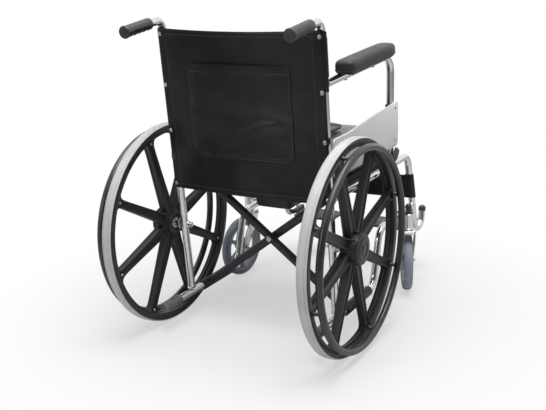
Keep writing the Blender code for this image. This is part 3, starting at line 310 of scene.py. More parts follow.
class ChairSizes(bpy.types.PropertyGroup):
    tube_radius: FloatProperty(
        name="Frame tube radius",
        description="Radius of the frame's round tubes",
        default=0.011, subtype="DISTANCE", unit="LENGTH",
    )
    frame_offset: FloatProperty(
        name="Side frame offset",
        description="Distance from the chair's middle to the centre of each side frame",
        default=FRAME_OFFSET, subtype="DISTANCE", unit="LENGTH",
    )
    wheel_radius: FloatProperty(
        name="Rear wheel radius",
        description="Radius of the solid tyres over their tread",
        default=0.299, subtype="DISTANCE", unit="LENGTH",
    )
    spoke_count: IntProperty(
        name="Spokes",
        description="Moulded spokes of each rear wheel",
        default=8, min=3, max=16,
    )
    grain_size: FloatProperty(
        name="Leather grain",
        description="Size of the grain pressed into the vinyl",
        default=0.0016, subtype="DISTANCE", unit="LENGTH",
    )
    stitch_length: FloatProperty(
        name="Stitch length",
        description="Length of one stitch along a seam",
        default=0.0045, subtype="DISTANCE", unit="LENGTH",
    )


class ChairColours(bpy.types.PropertyGroup):
    vinyl: FloatVectorProperty(
        name="Vinyl",
        description="Back, seat and strap covering",
        default=(0.008, 0.008, 0.0084), subtype="COLOR", min=0, max=1,
    )
    tyre: FloatVectorProperty(
        name="Tyres",
        description="Solid rear tyres",
        default=(0.55, 0.55, 0.54), subtype="COLOR", min=0, max=1,
    )
    caster: FloatVectorProperty(
        name="Caster tyres",
        description="Front caster tyres",
        default=(0.27, 0.31, 0.37), subtype="COLOR", min=0, max=1,
    )
    guard: FloatVectorProperty(
        name="Clothing guards",
        description="Plastic guards under the armrests",
        default=(0.84, 0.84, 0.85), subtype="COLOR", min=0, max=1,
    )
    chrome: FloatVectorProperty(
        name="Chrome",
        description="Plated steel tubes and fittings",
        default=(0.66, 0.67, 0.68), subtype="COLOR", min=0, max=1,
    )


# Surface effects that several finishes share


def new_group(name, inputs, outputs):
    """A shader group with named sockets, its nodes, its two end nodes and its coordinates."""
    group = bpy.data.node_groups.new(name, "ShaderNodeTree")
    nodes = group.nodes
    for label, value in inputs:
        kind = "NodeSocketVector" if isinstance(value, tuple) else "NodeSocketFloat"
        socket = group.interface.new_socket(label, in_out="INPUT", socket_type=kind)
        socket.default_value = value
    for label, kind in outputs:
        group.interface.new_socket(label, in_out="OUTPUT", socket_type=kind)
    place = nodes.new("ShaderNodeTexCoord")
    return group, nodes, nodes.new("NodeGroupInput"), nodes.new("NodeGroupOutput"), place


def node_of(nodes, kind, values=(), **settings):
    """A new node with these socket values, given by (socket, value), and these settings."""
    node = nodes.new(kind)
    for key, value in settings.items():
        setattr(node, key, value)
    for socket, value in values:
        node.inputs[socket].default_value = value
    return node


def wire(link, *routes):
    """Connect one node's output to another node's input, route by route."""
    for source, out, target, into in routes:
        link(source.outputs[out], target.inputs[into])


def ramp(nodes, low, high):
    """A smooth step from 0 to 1 between two values."""
    node = nodes.new("ShaderNodeMapRange")
    node.interpolation_type = "SMOOTHSTEP"
    node.inputs["From Min"].default_value = low
    node.inputs["From Max"].default_value = high
    return node


def marks_group():
    """Cloudy handling marks and dust, as a mask."""
    group, nodes, start, end, place = new_group(
        "handling_marks", [("Scale", 9.0), ("Detail", 5.0)], [("Mask", "NodeSocketFloat")]
    )
    link = group.links.new
    cloud = node_of(nodes, "ShaderNodeTexNoise", noise_dimensions="3D")
    step = ramp(nodes, 0.32, 0.7)
    wire(
        link,
        (place, "Object", cloud, "Vector"), (start, "Scale", cloud, "Scale"),
        (start, "Detail", cloud, "Detail"), (cloud, "Fac", step, "Value"),
        (step, "Result", end, "Mask"),
    )
    return group


def grain_group():
    """Pebbled leather grain: rounded cells with fine creases between them."""
    group, nodes, start, end, place = new_group(
        "leather_grain",
        [("Scale", 620.0), ("Crease", 0.35)],
        [("Height", "NodeSocketFloat"), ("Mask", "NodeSocketFloat")],
    )
    link = group.links.new
    cells = node_of(nodes, "ShaderNodeTexVoronoi", [("Smoothness", 0.6)], feature="SMOOTH_F1")
    values = [("Scale", 60.0), ("Detail", 6.0)]
    fold = node_of(nodes, "ShaderNodeTexNoise", values, noise_dimensions="3D")
    weight = node_of(nodes, "ShaderNodeMath", operation="MULTIPLY")
    total = node_of(nodes, "ShaderNodeMath", operation="ADD")
    step = ramp(nodes, 0.35, 1.0)
    wire(
        link,
        (place, "Object", cells, "Vector"), (place, "Object", fold, "Vector"),
        (start, "Scale", cells, "Scale"), (fold, "Fac", weight, 0), (start, "Crease", weight, 1),
        (cells, "Distance", total, 0), (weight, 0, total, 1), (total, 0, end, "Height"),
        (total, 0, step, "Value"), (step, "Result", end, "Mask"),
    )
    return group


def weave_group():
    """Crossed threads, from two bands at right angles."""
    group, nodes, start, end, place = new_group(
        "plain_weave",
        [("Scale", 900.0)],
        [("Height", "NodeSocketFloat"), ("Mask", "NodeSocketFloat")],
    )
    link = group.links.new
    both = node_of(nodes, "ShaderNodeMath", operation="MAXIMUM")
    for index, way in enumerate(("X", "Z")):
        band = node_of(nodes, "ShaderNodeTexWave", bands_direction=way)
        band.inputs["Distortion"].default_value = 0.4
        wire(
            link,
            (place, "Object", band, "Vector"), (start, "Scale", band, "Scale"),
            (band, "Fac", both, index),
        )
    step = ramp(nodes, 0.3, 0.9)
    wire(
        link,
        (both, 0, end, "Height"), (both, 0, step, "Value"), (step, "Result", end, "Mask"),
    )
    return group


def wear_group():
    """Where a surface turns sharply outwards and gets rubbed, as a mask broken up by noise."""
    group, nodes, start, end, place = new_group(
        "edge_wear", [("Scale", 80.0), ("Reach", 0.56)], [("Mask", "NodeSocketFloat")]
    )
    link = group.links.new
    shape = nodes.new("ShaderNodeNewGeometry")
    spots = node_of(nodes, "ShaderNodeTexNoise", [("Detail", 4.0)], noise_dimensions="3D")
    edge = ramp(nodes, 0.5, 0.6)
    worn = node_of(nodes, "ShaderNodeMath", operation="MULTIPLY")
    wire(
        link,
        (place, "Object", spots, "Vector"), (start, "Scale", spots, "Scale"),
        (shape, "Pointiness", edge, "Value"), (start, "Reach", edge, "From Max"),
        (edge, "Result", worn, 0), (spots, "Fac", worn, 1), (worn, 0, end, "Mask"),
    )
    return group


# Finishes


class Finish:
    """Builds one material: a Principled shader fed by the shared effects."""

    def __init__(self, name, colour, roughness, metallic=0.0, **sockets):
        self.material = bpy.data.materials.new(name)
        self.material.use_nodes = True
        self.nodes = self.material.node_tree.nodes
        self.link = self.material.node_tree.links.new
        self.shader = self.nodes["Principled BSDF"]
        self.colour = tuple(colour)
        sockets |= {"Base_Color": (*self.colour, 1), "Roughness": roughness, "Metallic": metallic}
        for label, value in sockets.items():
            self.shader.inputs[label.replace("_", " ")].default_value = value

    def effect(self, group, **values):
        """Place a shared group with this material's own values."""
        node = self.nodes.new("ShaderNodeGroup")
        node.node_tree = group
        for label, value in values.items():
            node.inputs[label].default_value = value
        return node

    def tint(self, mask, colour, strength=1.0):
        """Mix another colour in where the mask is high."""
        mix = self.nodes.new("ShaderNodeMix")
        mix.data_type = "RGBA"
        mix.inputs["A"].default_value = (*self.colour, 1)
        mix.inputs["B"].default_value = (*colour, 1)
        socket = self.shader.inputs["Base Color"]
        if socket.links:
            self.link(socket.links[0].from_socket, mix.inputs["A"])
        share = self.nodes.new("ShaderNodeMath")
        share.operation = "MULTIPLY"
        share.inputs[1].default_value = strength
        self.link(mask, share.inputs[0])
        self.link(share.outputs[0], mix.inputs["Factor"])
        self.link(mix.outputs["Result"], socket)

    def vary(self, label, mask, low, high):
        """Run one of the shader's sockets from one value to another across the mask."""
        share = node_of(self.nodes, "ShaderNodeMapRange", [("To Min", low), ("To Max", high)])
        self.link(mask, share.inputs["Value"])
        self.link(share.outputs["Result"], self.shader.inputs[label])

    def polish(self, mask, low, high):
        self.vary("Roughness", mask, low, high)

    def glaze(self, mask, low, high):
        """Weight of the glossy coat from one value to another across the mask."""
        self.vary("Coat Weight", mask, low, high)

    def relief(self, height, distance, strength=1.0):
        """Add a bump on top of those already there."""
        values = [("Distance", distance), ("Strength", strength)]
        bump = node_of(self.nodes, "ShaderNodeBump", values)
        self.link(height, bump.inputs["Height"])
        socket = self.shader.inputs["Normal"]
        if socket.links:
            self.link(socket.links[0].from_socket, bump.inputs["Normal"])
        self.link(bump.outputs["Normal"], socket)


def fine_noise(finish, scale, detail=4.0):
    """Object-space noise for a pattern that only one finish has."""
    place = finish.nodes.new("ShaderNodeTexCoord")
    node = node_of(finish.nodes, "ShaderNodeTexNoise", [("Scale", scale), ("Detail", detail)])
    finish.link(place.outputs["Object"], node.inputs["Vector"])
    return node.outputs["Fac"]


def lighter(colour, by):
    return tuple(min(1.0, part * by) for part in colour)


def make_finishes(sizes, colours):
    """Every finish of the chair by name."""
    marks, grain, weave, wear = marks_group(), grain_group(), weave_group(), wear_group()
    made = {}

    def clouded(
        key, name, colour, roughness, cloud, tint, share, gloss, rub=None, bump=None, **sockets
    ):
        """A finish whose handling marks change colour and gloss, with rubbed edges and relief."""
        finish = Finish(name, colour, roughness, **sockets)
        scale, detail = cloud
        mask = finish.effect(marks, Scale=scale, Detail=detail).outputs["Mask"]
        finish.tint(mask, tint, share)
        if rub:
            size, reach, bare, worn = rub
            finish.tint(finish.effect(wear, Scale=size, Reach=reach).outputs["Mask"], bare, worn)
        finish.polish(mask, *gloss)
        if bump:
            size, fine, depth, strength = bump
            finish.relief(fine_noise(finish, size, fine), depth, strength)
        made[key] = finish.material

    clouded(
        "chrome", "chrome_plate", colours.chrome, 0.12, (14.0, 5.0),
        lighter(colours.chrome, 0.86), 0.6, (0.09, 0.24), bump=(45.0, 4.0, 0.0004, 0.25),
        metallic=1.0,
    )
    clouded(
        "zinc", "zinc_fasteners", (0.55, 0.55, 0.54), 0.3, (60.0, 5.0),
        (0.38, 0.38, 0.37), 0.8, (0.22, 0.5), metallic=1.0,
    )
    clouded(
        "black_steel", "black_coated_steel", (0.014, 0.014, 0.015), 0.38, (22.0, 5.0),
        (0.028, 0.028, 0.03), 0.7, (0.3, 0.48), rub=(120.0, 0.58, (0.1, 0.1, 0.105), 0.5),
        bump=(900.0, 2.0, 0.0003, 0.35), Specular_IOR_Level=0.3,
    )
    clouded(
        "moulded", "moulded_wheel_plastic", (0.011, 0.011, 0.012), 0.42, (12.0, 5.0),
        (0.024, 0.024, 0.026), 0.8, (0.34, 0.52), rub=(90.0, 0.57, (0.09, 0.09, 0.095), 0.6),
        bump=(1400.0, 2.0, 0.0002, 0.4), Specular_IOR_Level=0.3,
    )
    clouded(
        "ring", "push_ring_coating", (0.016, 0.016, 0.017), 0.28, (9.0, 5.0),
        (0.045, 0.045, 0.047), 0.8, (0.22, 0.4), bump=(260.0, 3.0, 0.0003, 0.3),
        Specular_IOR_Level=0.5,
    )
    clouded(
        "tyre", "grey_solid_tyre", colours.tyre, 0.78, (16.0, 8.0),
        lighter(colours.tyre, 0.78), 0.55, (0.66, 0.86), bump=(700.0, 6.0, 0.0005, 0.5),
    )
    clouded(
        "caster", "caster_tyre", colours.caster, 0.55, (24.0, 7.0),
        lighter(colours.caster, 0.72), 0.6, (0.42, 0.7), bump=(620.0, 4.0, 0.0004, 0.35),
    )
    clouded(
        "grey_plastic", "caster_wheel_plastic", (0.36, 0.37, 0.39), 0.45, (30.0, 5.0),
        (0.24, 0.25, 0.27), 0.6, (0.36, 0.58), bump=(1100.0, 2.0, 0.0002, 0.3),
    )
    clouded(
        "rubber", "grip_rubber", (0.016, 0.016, 0.017), 0.4, (40.0, 5.0),
        (0.036, 0.036, 0.038), 0.7, (0.32, 0.52), rub=(200.0, 0.58, (0.085, 0.085, 0.09), 0.6),
        bump=(1500.0, 3.0, 0.0002, 0.5), Specular_IOR_Level=0.5,
    )
    clouded(
        "tip_rubber", "tipping_sleeve_rubber", (0.15, 0.15, 0.155), 0.62, (55.0, 5.0),
        (0.085, 0.085, 0.09), 0.8, (0.5, 0.76), bump=(1300.0, 3.0, 0.0002, 0.5),
    )
    clouded(
        "guard", "white_guard_plastic", colours.guard, 0.34, (7.0, 8.0),
        lighter(colours.guard, 0.93), 0.6, (0.26, 0.46), bump=(500.0, 3.0, 0.0002, 0.25),
    )
    clouded(
        "pan", "pan_plastic", (0.02, 0.02, 0.021), 0.36, (10.0, 5.0),
        (0.04, 0.04, 0.043), 0.7, (0.28, 0.46), bump=(800.0, 2.0, 0.0002, 0.3),
        Specular_IOR_Level=0.3,
    )

    foam = Finish("armrest_foam_skin", (0.022, 0.022, 0.023), 0.55, Specular_IOR_Level=0.35)
    pebble = foam.effect(grain, Scale=900.0, Crease=0.2)
    cloud = foam.effect(marks, Scale=18.0)
    foam.tint(cloud.outputs["Mask"], (0.038, 0.038, 0.04), 0.7)
    foam.polish(cloud.outputs["Mask"], 0.46, 0.66)
    foam.relief(pebble.outputs["Height"], 0.0004, 0.4)
    made["foam"] = foam.material

    for name, level, low, high in (("vinyl", 0.12, 0.3, 0.48), ("pad_vinyl", 0.36, 0.26, 0.4)):
        gloss = {"Specular_IOR_Level": level, "Coat_Roughness": 0.34}
        vinyl = Finish(f"black_{name}", colours.vinyl, low, **gloss)
        sheen = vinyl.effect(marks, Scale=3.2, Detail=3.0)
        vinyl.glaze(sheen.outputs["Mask"], 0.0, 0.5)
        pebble = vinyl.effect(grain, Scale=1.0 / sizes.grain_size, Crease=0.5)
        cloud = vinyl.effect(marks, Scale=6.0, Detail=7.0)
        vinyl.tint(pebble.outputs["Mask"], lighter(colours.vinyl, 1.5), 0.6)
        vinyl.tint(cloud.outputs["Mask"], lighter(colours.vinyl, 1.9), 0.5)
        vinyl.polish(cloud.outputs["Mask"], low, high)
        vinyl.relief(fine_noise(vinyl, 9.0, 3.0), 0.012, 0.35)
        vinyl.relief(fine_noise(vinyl, 34.0, 2.0), 0.003, 0.3)
        vinyl.relief(pebble.outputs["Height"], 0.0006, 0.35)
        made[name] = vinyl.material

    thread = Finish("seam_thread", (0.06, 0.06, 0.062), 0.7, Sheen_Weight=0.3)
    twist = fine_noise(thread, 2600.0, 2.0)
    thread.tint(twist, (0.075, 0.075, 0.08), 0.8)
    thread.relief(twist, 0.0003, 0.6)
    made["thread"] = thread.material

    cloth = Finish("seat_base_cloth", (0.017, 0.017, 0.018), 0.85, Sheen_Weight=0.25)
    threads = cloth.effect(weave, Scale=420.0)
    cloud = cloth.effect(marks, Scale=11.0)
    cloth.tint(threads.outputs["Mask"], (0.032, 0.032, 0.034), 0.8)
    cloth.tint(cloud.outputs["Mask"], (0.045, 0.045, 0.047), 0.4)
    cloth.relief(threads.outputs["Height"], 0.0005, 0.6)
    made["cloth"] = cloth.material

    return made


FINISHES = {}


# Pieces

NODE_FINISH = {
    "chrome": "back_cane side_rail lower_rail arm_tube axle caster_housing caster_fork lock_bracket "
    "lock_lever lock_shoe pivot_bolt",
    "rubber": "front_tube_cap push_grip stem_cap lock_grip",
    "tip_rubber": "tipping_sleeve",
    "foam": "arm_pad",
    "guard": "side_panel",
    "moulded": "footplate_hinge footplate mag_wheel hub_cap",
    "tyre": "rear_tyre",
    "ring": "handrim",
    "caster": "caster_tyre",
    "grey_plastic": "caster_wheel",
    "black_steel": "brace_a brace_b",
    "cloth": "seat_base",
    "pad_vinyl": "seat_cushion lid_cushion",
    "pan": "commode_pan",
    "vinyl": "back_upholstery calf_strap",
}


class CHAIR_OT_finish_frame(bpy.types.Operator):
    """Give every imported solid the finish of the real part"""

    bl_idname = "chair.finish_frame"
    bl_label = "Finishes of the frame"

    def execute(self, context):
        finish_of = {word: key for key, words in NODE_FINISH.items() for word in words.split()}
        for name, node in frame["nodes"].items():
            word = name.removesuffix("_left").removesuffix("_right")
            for slot in node.material_slots:
                slot.material = FINISHES[finish_of[word]]
        return {"FINISHED"}


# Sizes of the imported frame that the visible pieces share
SIDE_RAIL_HEIGHT, SIDE_RAIL_BEND = 0.428, -0.559
RAIL_JOINT_HEIGHT = 0.26
LOWER_RAIL_HEIGHT = 0.08
FRONT_RAIL_HEIGHT = 0.25
CANE_RAKE = 0.082
FRONT_TUBE_SLOPE = 0.3
GRIP_HEIGHT, GRIP_TILT = 0.8984, radians(7.2)
GRIP_REAR, GRIP_LENGTH = 0.219, 0.11
ARM_CANE_HEIGHT = 0.7395
ARM_SLOPE = 0.0577
ARM_POST_REACH = -0.41
HOOK_HEIGHT = 0.15
HOOK_FOOT, HOOK_END = (-0.698, 0.16), (-0.7085, 0.2045)
CASTER_OFFSET = 0.289
CASTER_REACH = -0.4485
WELD_SIZE = 0.0022


def cane_reach(height):
    """How far behind the rear axle the raked back cane stands at a height."""
    return 0.0048 + CANE_RAKE * (height - 0.3)


def front_reach(height):
    """Where the sloping front tube stands at a height."""
    return SIDE_RAIL_BEND - FRONT_TUBE_SLOPE * (SIDE_RAIL_HEIGHT - height)


def grip_spot(x, ahead):
    """A point on the drooping push grip's centre line, this far ahead of its rear end."""
    reach = GRIP_REAR - ahead * cos(GRIP_TILT)
    return at(x, reach, GRIP_HEIGHT - tan(GRIP_TILT) * (reach - cane_reach(GRIP_HEIGHT)))


def arm_height(reach):
    """The height of the arm tube, which rises to the front."""
    return ARM_CANE_HEIGHT - ARM_SLOPE * (reach - cane_reach(ARM_CANE_HEIGHT))


def weld_ring(centre, axis, inner):
    """The small bead where one tube is welded to another."""
    size = WELD_SIZE
    profile = [
        (-size, inner - size), (-size, inner + size * 0.5), (-size * 0.2, inner + size),
        (size * 0.8, inner + size * 0.4), (size * 1.6, inner - size * 0.2),
        (size * 1.6, inner - size), (-size, inner - size),
    ]
    return lathe(profile, centre, axis, 32)


class CHAIR_OT_frame_tubes(bpy.types.Operator):
    """Bend the chromed canes, rails and arm tubes of both side frames"""

    bl_idname = "chair.frame_tubes"
    bl_label = "Frame tubes"

    def execute(self, context):
        sizes = context.scene.chair_sizes
        x, radius = sizes.frame_offset, sizes.tube_radius
        for word, piece, node in (
            ("cane_tube", self.cane(x, radius), "back_cane"),
            ("seat_side_rail", self.side_rail(x, radius), "side_rail"),
            ("bottom_rail", self.lower_rail(x, radius), "lower_rail"),
            ("arm_tube_bent", self.arm_tube(x, radius), "arm_tube"),
        ):
            pair(word, piece, "frame", "chrome", "chrome", (node,))
        return {"FINISHED"}

    @staticmethod
    def cane(x, radius):
        foot = LOWER_RAIL_HEIGHT + radius * (1 + CANE_RAKE) + FLOOR_CLEARANCE
        start = at(x, cane_reach(foot), foot)
        top = at(x, cane_reach(GRIP_HEIGHT), GRIP_HEIGHT)
        bent = tube([start, top, grip_spot(x, 0.0043)], radius, bend=0.024)
        way = (top - start).normalized()
        return join(bent, weld_ring(start + way * WELD_SIZE * 1.2, way, radius))

    @staticmethod
    def side_rail(x, radius):
        slant = hypot(1, CANE_RAKE) + CANE_RAKE
        start = cane_reach(SIDE_RAIL_HEIGHT) - radius * slant - FLOOR_CLEARANCE
        joint = at(x, front_reach(RAIL_JOINT_HEIGHT), RAIL_JOINT_HEIGHT)
        low = at(x, front_reach(HOOK_HEIGHT), HOOK_HEIGHT)
        along = [at(x, start, SIDE_RAIL_HEIGHT), at(x, SIDE_RAIL_BEND, SIDE_RAIL_HEIGHT), joint]
        upper = tube(along, radius, bend=0.05)
        lower = tube([joint, low, at(x, *HOOK_FOOT), at(x, *HOOK_END)], radius, bend=0.028)
        weld = weld_ring(at(x, start - WELD_SIZE * 1.2, SIDE_RAIL_HEIGHT), (0, -1, 0), radius)
        return join(upper, lower, weld)

    @staticmethod
    def lower_rail(x, radius):
        front = front_reach(FRONT_RAIL_HEIGHT + radius) + radius * hypot(1, FRONT_TUBE_SLOPE)
        spots = [
            at(x, 0.13, LOWER_RAIL_HEIGHT),
            at(x, -0.279, LOWER_RAIL_HEIGHT),
            at(x, -0.329, FRONT_RAIL_HEIGHT),
            at(x, front + FLOOR_CLEARANCE, FRONT_RAIL_HEIGHT),
        ]
        bent = tube(spots, radius, bend=0.05)
        return join(bent, weld_ring(spots[-1] + Vector((0, WELD_SIZE * 1.4, 0)), (0, 1, 0), radius))

    @staticmethod
    def arm_tube(x, radius):
        slant = hypot(1, CANE_RAKE) + CANE_RAKE + ARM_SLOPE
        start = cane_reach(ARM_CANE_HEIGHT) - radius * slant - FLOOR_CLEARANCE
        foot = SIDE_RAIL_HEIGHT + radius + FLOOR_CLEARANCE
        spots = [
            at(x, start, arm_height(start)),
            at(x, ARM_POST_REACH, arm_height(ARM_POST_REACH)),
            at(x, ARM_POST_REACH, foot),
        ]
        bent = tube(spots, radius, bend=0.05)
        weld = weld_ring(spots[2] + Vector((0, 0, WELD_SIZE * 1.2)), (0, 0, 1), radius)
        return join(bent, weld)


def grip_shape(x):
    """A push grip with finger hollows underneath, a stop flange and a domed end."""
    bore, outer, length = 0.0115, 0.016, GRIP_LENGTH
    profile = [(0.0, bore), (0.0, 0.0135), (0.0012, 0.015), (0.004, 0.0159), (0.008, outer)]
    profile += [(0.008 + (length - 0.017) * step / 36, outer) for step in range(1, 36)]
    profile += [(length - 0.008, 0.0165), (length - 0.003, 0.0172), (length - 0.001, 0.0164)]
    profile += [(length, 0.013), (length + 0.0002, 0.0), (length - 0.003, 0.0)]
    profile += [(length - 0.003, bore), (0.0, bore)]
    grip = lathe(profile, (0, 0, 0), (0, 1, 0), 40)
    for vert in grip.data.vertices:
        spot = vert.co
        out = Vector((spot.x, 0, spot.z))
        if out.length < 0.0155 or not 0.006 < spot.y < length - 0.008:
            continue
        under = max(0.0, -out.z / out.length)
        wave = 0.5 + 0.5 * cos(2 * pi * (spot.y - 0.014) / 0.0192)
        fine = 0.5 + 0.5 * cos(2 * pi * spot.y / 0.006)
        out.length -= 0.0034 * under**0.6 * (1 - wave) + 0.0005 * (1 - under) * (1 - fine)
        spot.x, spot.z = out.x, out.z
    turn = Matrix.Rotation(-GRIP_TILT, 4, "X")
    grip.data.transform(Matrix.Translation(grip_spot(x, length)) @ turn)
    return grip


class CHAIR_OT_grips(bpy.types.Operator):
    """Mould the push grips, the tipping sleeves and the tube caps"""

    bl_idname = "chair.grips"
    bl_label = "Grips, sleeves and caps"

    def execute(self, context):
        x = context.scene.chair_sizes.frame_offset
        for word, piece, slot, finish, node in (
            ("finger_grip", grip_shape(x), "grip_rubber", "rubber", "push_grip"),
            ("ribbed_sleeve", self.sleeve(x), "tip_rubber", "tip_rubber", "tipping_sleeve"),
            ("hook_cap", self.hook_cap(x), "grip_rubber", "rubber", "front_tube_cap"),
            ("stem_plug", self.stem_plug(), "grip_rubber", "rubber", "stem_cap"),
        ):
            pair(word, piece, "frame", slot, finish, (node,), 45)
        return {"FINISHED"}

    @staticmethod
    def sleeve(x):
        """Rubber over the tipping lever, with close rings and a thick lip."""
        outer, rib, bore, length = 0.0145, 0.0009, 0.0115, 0.078
        lip, shut = outer + 0.0012, length - 0.0035
        profile = [(0.0, bore), (0.0, outer), (0.0015, lip), (0.006, lip), (0.0072, outer)]
        for ring in range(11):
            place = 0.0095 + ring * 0.0056
            low = outer - rib
            profile += [(place, outer), (place + 0.0008, low), (place + 0.0024, low)]
            profile += [(place + 0.0032, outer)]
        profile += [(length - 0.003, outer), (length - 0.0008, outer - 0.001)]
        profile += [(length, outer - 0.003), (length, 0.0), (shut, 0.0), (shut, bore), (0.0, bore)]
        return lathe(profile, at(x, 0.0563, LOWER_RAIL_HEIGHT), (0, 1, 0), 36)

    @staticmethod
    def dome(radius, length):
        profile = [(0.0, 0.0), (0.0, radius * 0.94), (0.001, radius)]
        for step in range(7):
            turn = pi / 2 * step / 6
            rise = length - radius * 0.6 + radius * 0.6 * sin(turn)
            profile.append((rise, radius * cos(turn)))
        return profile + [(0.0, 0.0)]

    def hook_cap(self, x):
        end = at(x, *HOOK_END)
        way = (end - at(x, *HOOK_FOOT)).normalized()
        return lathe(self.dome(0.0125, 0.018), end + way * FLOOR_CLEARANCE, way, 32)

    def stem_plug(self):
        foot = at(CASTER_OFFSET, CASTER_REACH, 0.271 + FLOOR_CLEARANCE)
        return lathe(self.dome(0.0095, 0.0297), foot, (0, 0, 1), 28)


# Rear wheels

TYRE_HALF_WIDTH = 0.0145
RIM_RADIUS = 0.2795
SPOKE_TURN = radians(17.7)
SCREW_RADIUS = 0.0042
RING_STANDOFF = 0.037
RING_RADIUS = 0.273


def screw(head, way, radius, depth=0.0025):
    """A pan head with a cross recess, facing along way from its seat."""
    way = Vector(way).normalized()
    profile = [
        (0.0, 0.0), (0.0, radius), (depth * 0.4, radius), (depth * 0.8, radius * 0.82),
        (depth, radius * 0.45), (depth, 0.0), (0.0, 0.0),
    ]
    body = lathe(profile, head, way, 16)
    side = way.orthogonal().normalized()
    for arm in (side, way.cross(side)):
        top, half = Vector(head) + way * depth, arm * radius * 0.5
        carve(body, tube([top - half, top + half], radius * 0.13, sides=4))
    return body


class CHAIR_OT_rear_wheels(bpy.types.Operator):
    """Mould the rear wheels with their tyres, spokes, hubs and push rings"""

    bl_idname = "chair.rear_wheels"
    bl_label = "Rear wheels"

    def execute(self, context):
        sizes = context.scene.chair_sizes
        count = sizes.spoke_count
        wheel = self.rim()
        spokes = round_about(self.spoke(), AXLE, (1, 0, 0), count)
        wheel = join(wheel, spokes, self.hub(count))
        screws = join(round_about(self.rim_screw(), AXLE, (1, 0, 0), count), self.bearing())
        lugs = round_about(self.lug(), AXLE, (1, 0, 0), count)
        parts = (
            ("solid_tyre", self.tyre(sizes.wheel_radius), "grey_tyre", "tyre", ("rear_tyre",)),
            ("spoked_wheel", wheel, "black_plastic", "moulded", ("mag_wheel",)),
            ("spoke_screws", screws, "chrome", "zinc", ()),
            ("push_ring", join(self.ring(), lugs), "handrim", "ring", ("handrim",)),
            ("hub_cover", self.cover(), "black_plastic", "moulded", ("hub_cap",)),
        )
        for word, piece, slot, finish, nodes in parts:
            pair(word, piece, "rear_wheel", slot, finish, nodes, 32)
        return {"FINISHED"}

    @staticmethod
    def tyre(radius):
        """A solid tyre: crowned tread between two fine grooves, and shallow side walls."""
        half, foot = TYRE_HALF_WIDTH, 0.2945
        profile = [(-0.011, 0.28), (-0.011, foot), (-half, foot), (-half, foot + 0.0008)]
        profile += [(-0.0132, radius - 0.0024), (-0.0108, radius - 0.0009)]
        profile += [(-0.0092, radius - 0.0005)]
        profile += [(-0.0088, radius - 0.0013), (-0.008, radius - 0.0013)]
        profile += [(-0.0076, radius - 0.0003), (-0.004, radius - 0.0001), (0.0, radius)]
        mirrored = [(-along, out) for along, out in profile[::-1][1:]]
        return lathe(profile + mirrored + [profile[0]], AXLE, (1, 0, 0), 128)

    @staticmethod
    def rim():
        """The moulded rim: a channel for the tyre with a stiff inner rib."""
        half, lip, base = TYRE_HALF_WIDTH, 0.2942, RIM_RADIUS
        profile = [
            (-half + 0.0006, lip), (-half + 0.003, lip - 0.0004), (-0.0113, base + 0.0015),
            (-0.0105, base), (0.0105, base), (0.0113, base + 0.0015),
            (half - 0.003, lip - 0.0004), (half - 0.0006, lip), (half, lip - 0.0014),
            (half, 0.276), (half - 0.0012, 0.2738), (half - 0.004, 0.2732), (0.003, 0.2738),
            (0.0022, 0.27), (-0.0022, 0.27), (-0.003, 0.2738), (-half + 0.004, 0.2732),
            (-half + 0.0012, 0.2738), (-half, 0.276), (-half, lip - 0.0014),
            (-half + 0.0006, lip),
        ]
        return lathe(profile, AXLE, (1, 0, 0), 128)

    @staticmethod
    def spoke():
        """One tapered spoke: a rib along each edge, a sunk web between and a flared foot."""
        stations = (
            (0.03, 0.0165, 0.014), (0.044, 0.0158, 0.0135), (0.06, 0.015, 0.0128),
            (0.15, 0.013, 0.0112), (0.235, 0.0114, 0.01), (0.255, 0.0118, 0.0102),
            (0.266, 0.015, 0.0112), (0.2745, 0.024, 0.013),
        )
        shares = (
            (0.94, 0.38), (1.0, 0.46), (1.0, 1.0), (0.74, 1.0), (0.5, 0.7), (-0.5, 0.7),
            (-0.74, 1.0), (-1.0, 1.0), (-1.0, 0.46), (-0.94, 0.38),
        )
        section = list(shares) + [(-across_by, -deep) for across_by, deep in shares]
        turn = Matrix.Rotation(-SPOKE_TURN, 4, "X")
        begin()
        bpy.ops.mesh.primitive_circle_add(vertices=len(section), radius=1, fill_type="NGON")
        piece = edit(bpy.context.object, "FACE")
        for _ in stations[1:]:
            draw_out((0, 0, 1))
        begin()
        mesh = piece.data
        rings = {}
        for vert in mesh.vertices:
            rings.setdefault(round(vert.co.z), []).append(vert)
        for level, (height, wide, deep) in enumerate(stations):
            ring = sorted(rings[level], key=lambda vert: atan2(vert.co.y, vert.co.x))
            order = sorted(section, key=lambda share: atan2(share[0], share[1]))
            for vert, (wide_by, deep_by) in zip(ring, order):
                spot = Vector((deep_by * deep, wide_by * wide, height))
                vert.co = AXLE + turn @ spot
        settle(piece)
        return soften(piece, 0.0008, 2, 25)

    @staticmethod
    def hub(count):
        """The hub: a stepped barrel with a ribbed collar between the spokes."""
        profile = [
            (-0.018, 0.0095), (-0.018, 0.022), (-0.0205, 0.0245), (-0.021, 0.03),
            (-0.0205, 0.0338), (-0.019, 0.035), (-0.015, 0.0352), (-0.0132, 0.04),
            (-0.011, 0.0418), (0.023, 0.0418), (0.026, 0.0405), (0.027, 0.0385),
            (0.027, 0.0095), (-0.018, 0.0095),
        ]
        hub = lathe(profile, AXLE, (1, 0, 0), 64)
        turn = Matrix.Rotation(-SPOKE_TURN - pi / count, 4, "X")
        rib = block((-0.0125, -0.003, 0.0405), (0.023, 0.003, 0.0455), 0.001, 2)
        rib.data.transform(Matrix.Translation(AXLE) @ turn)
        return join(hub, round_about(rib, AXLE, (1, 0, 0), count))

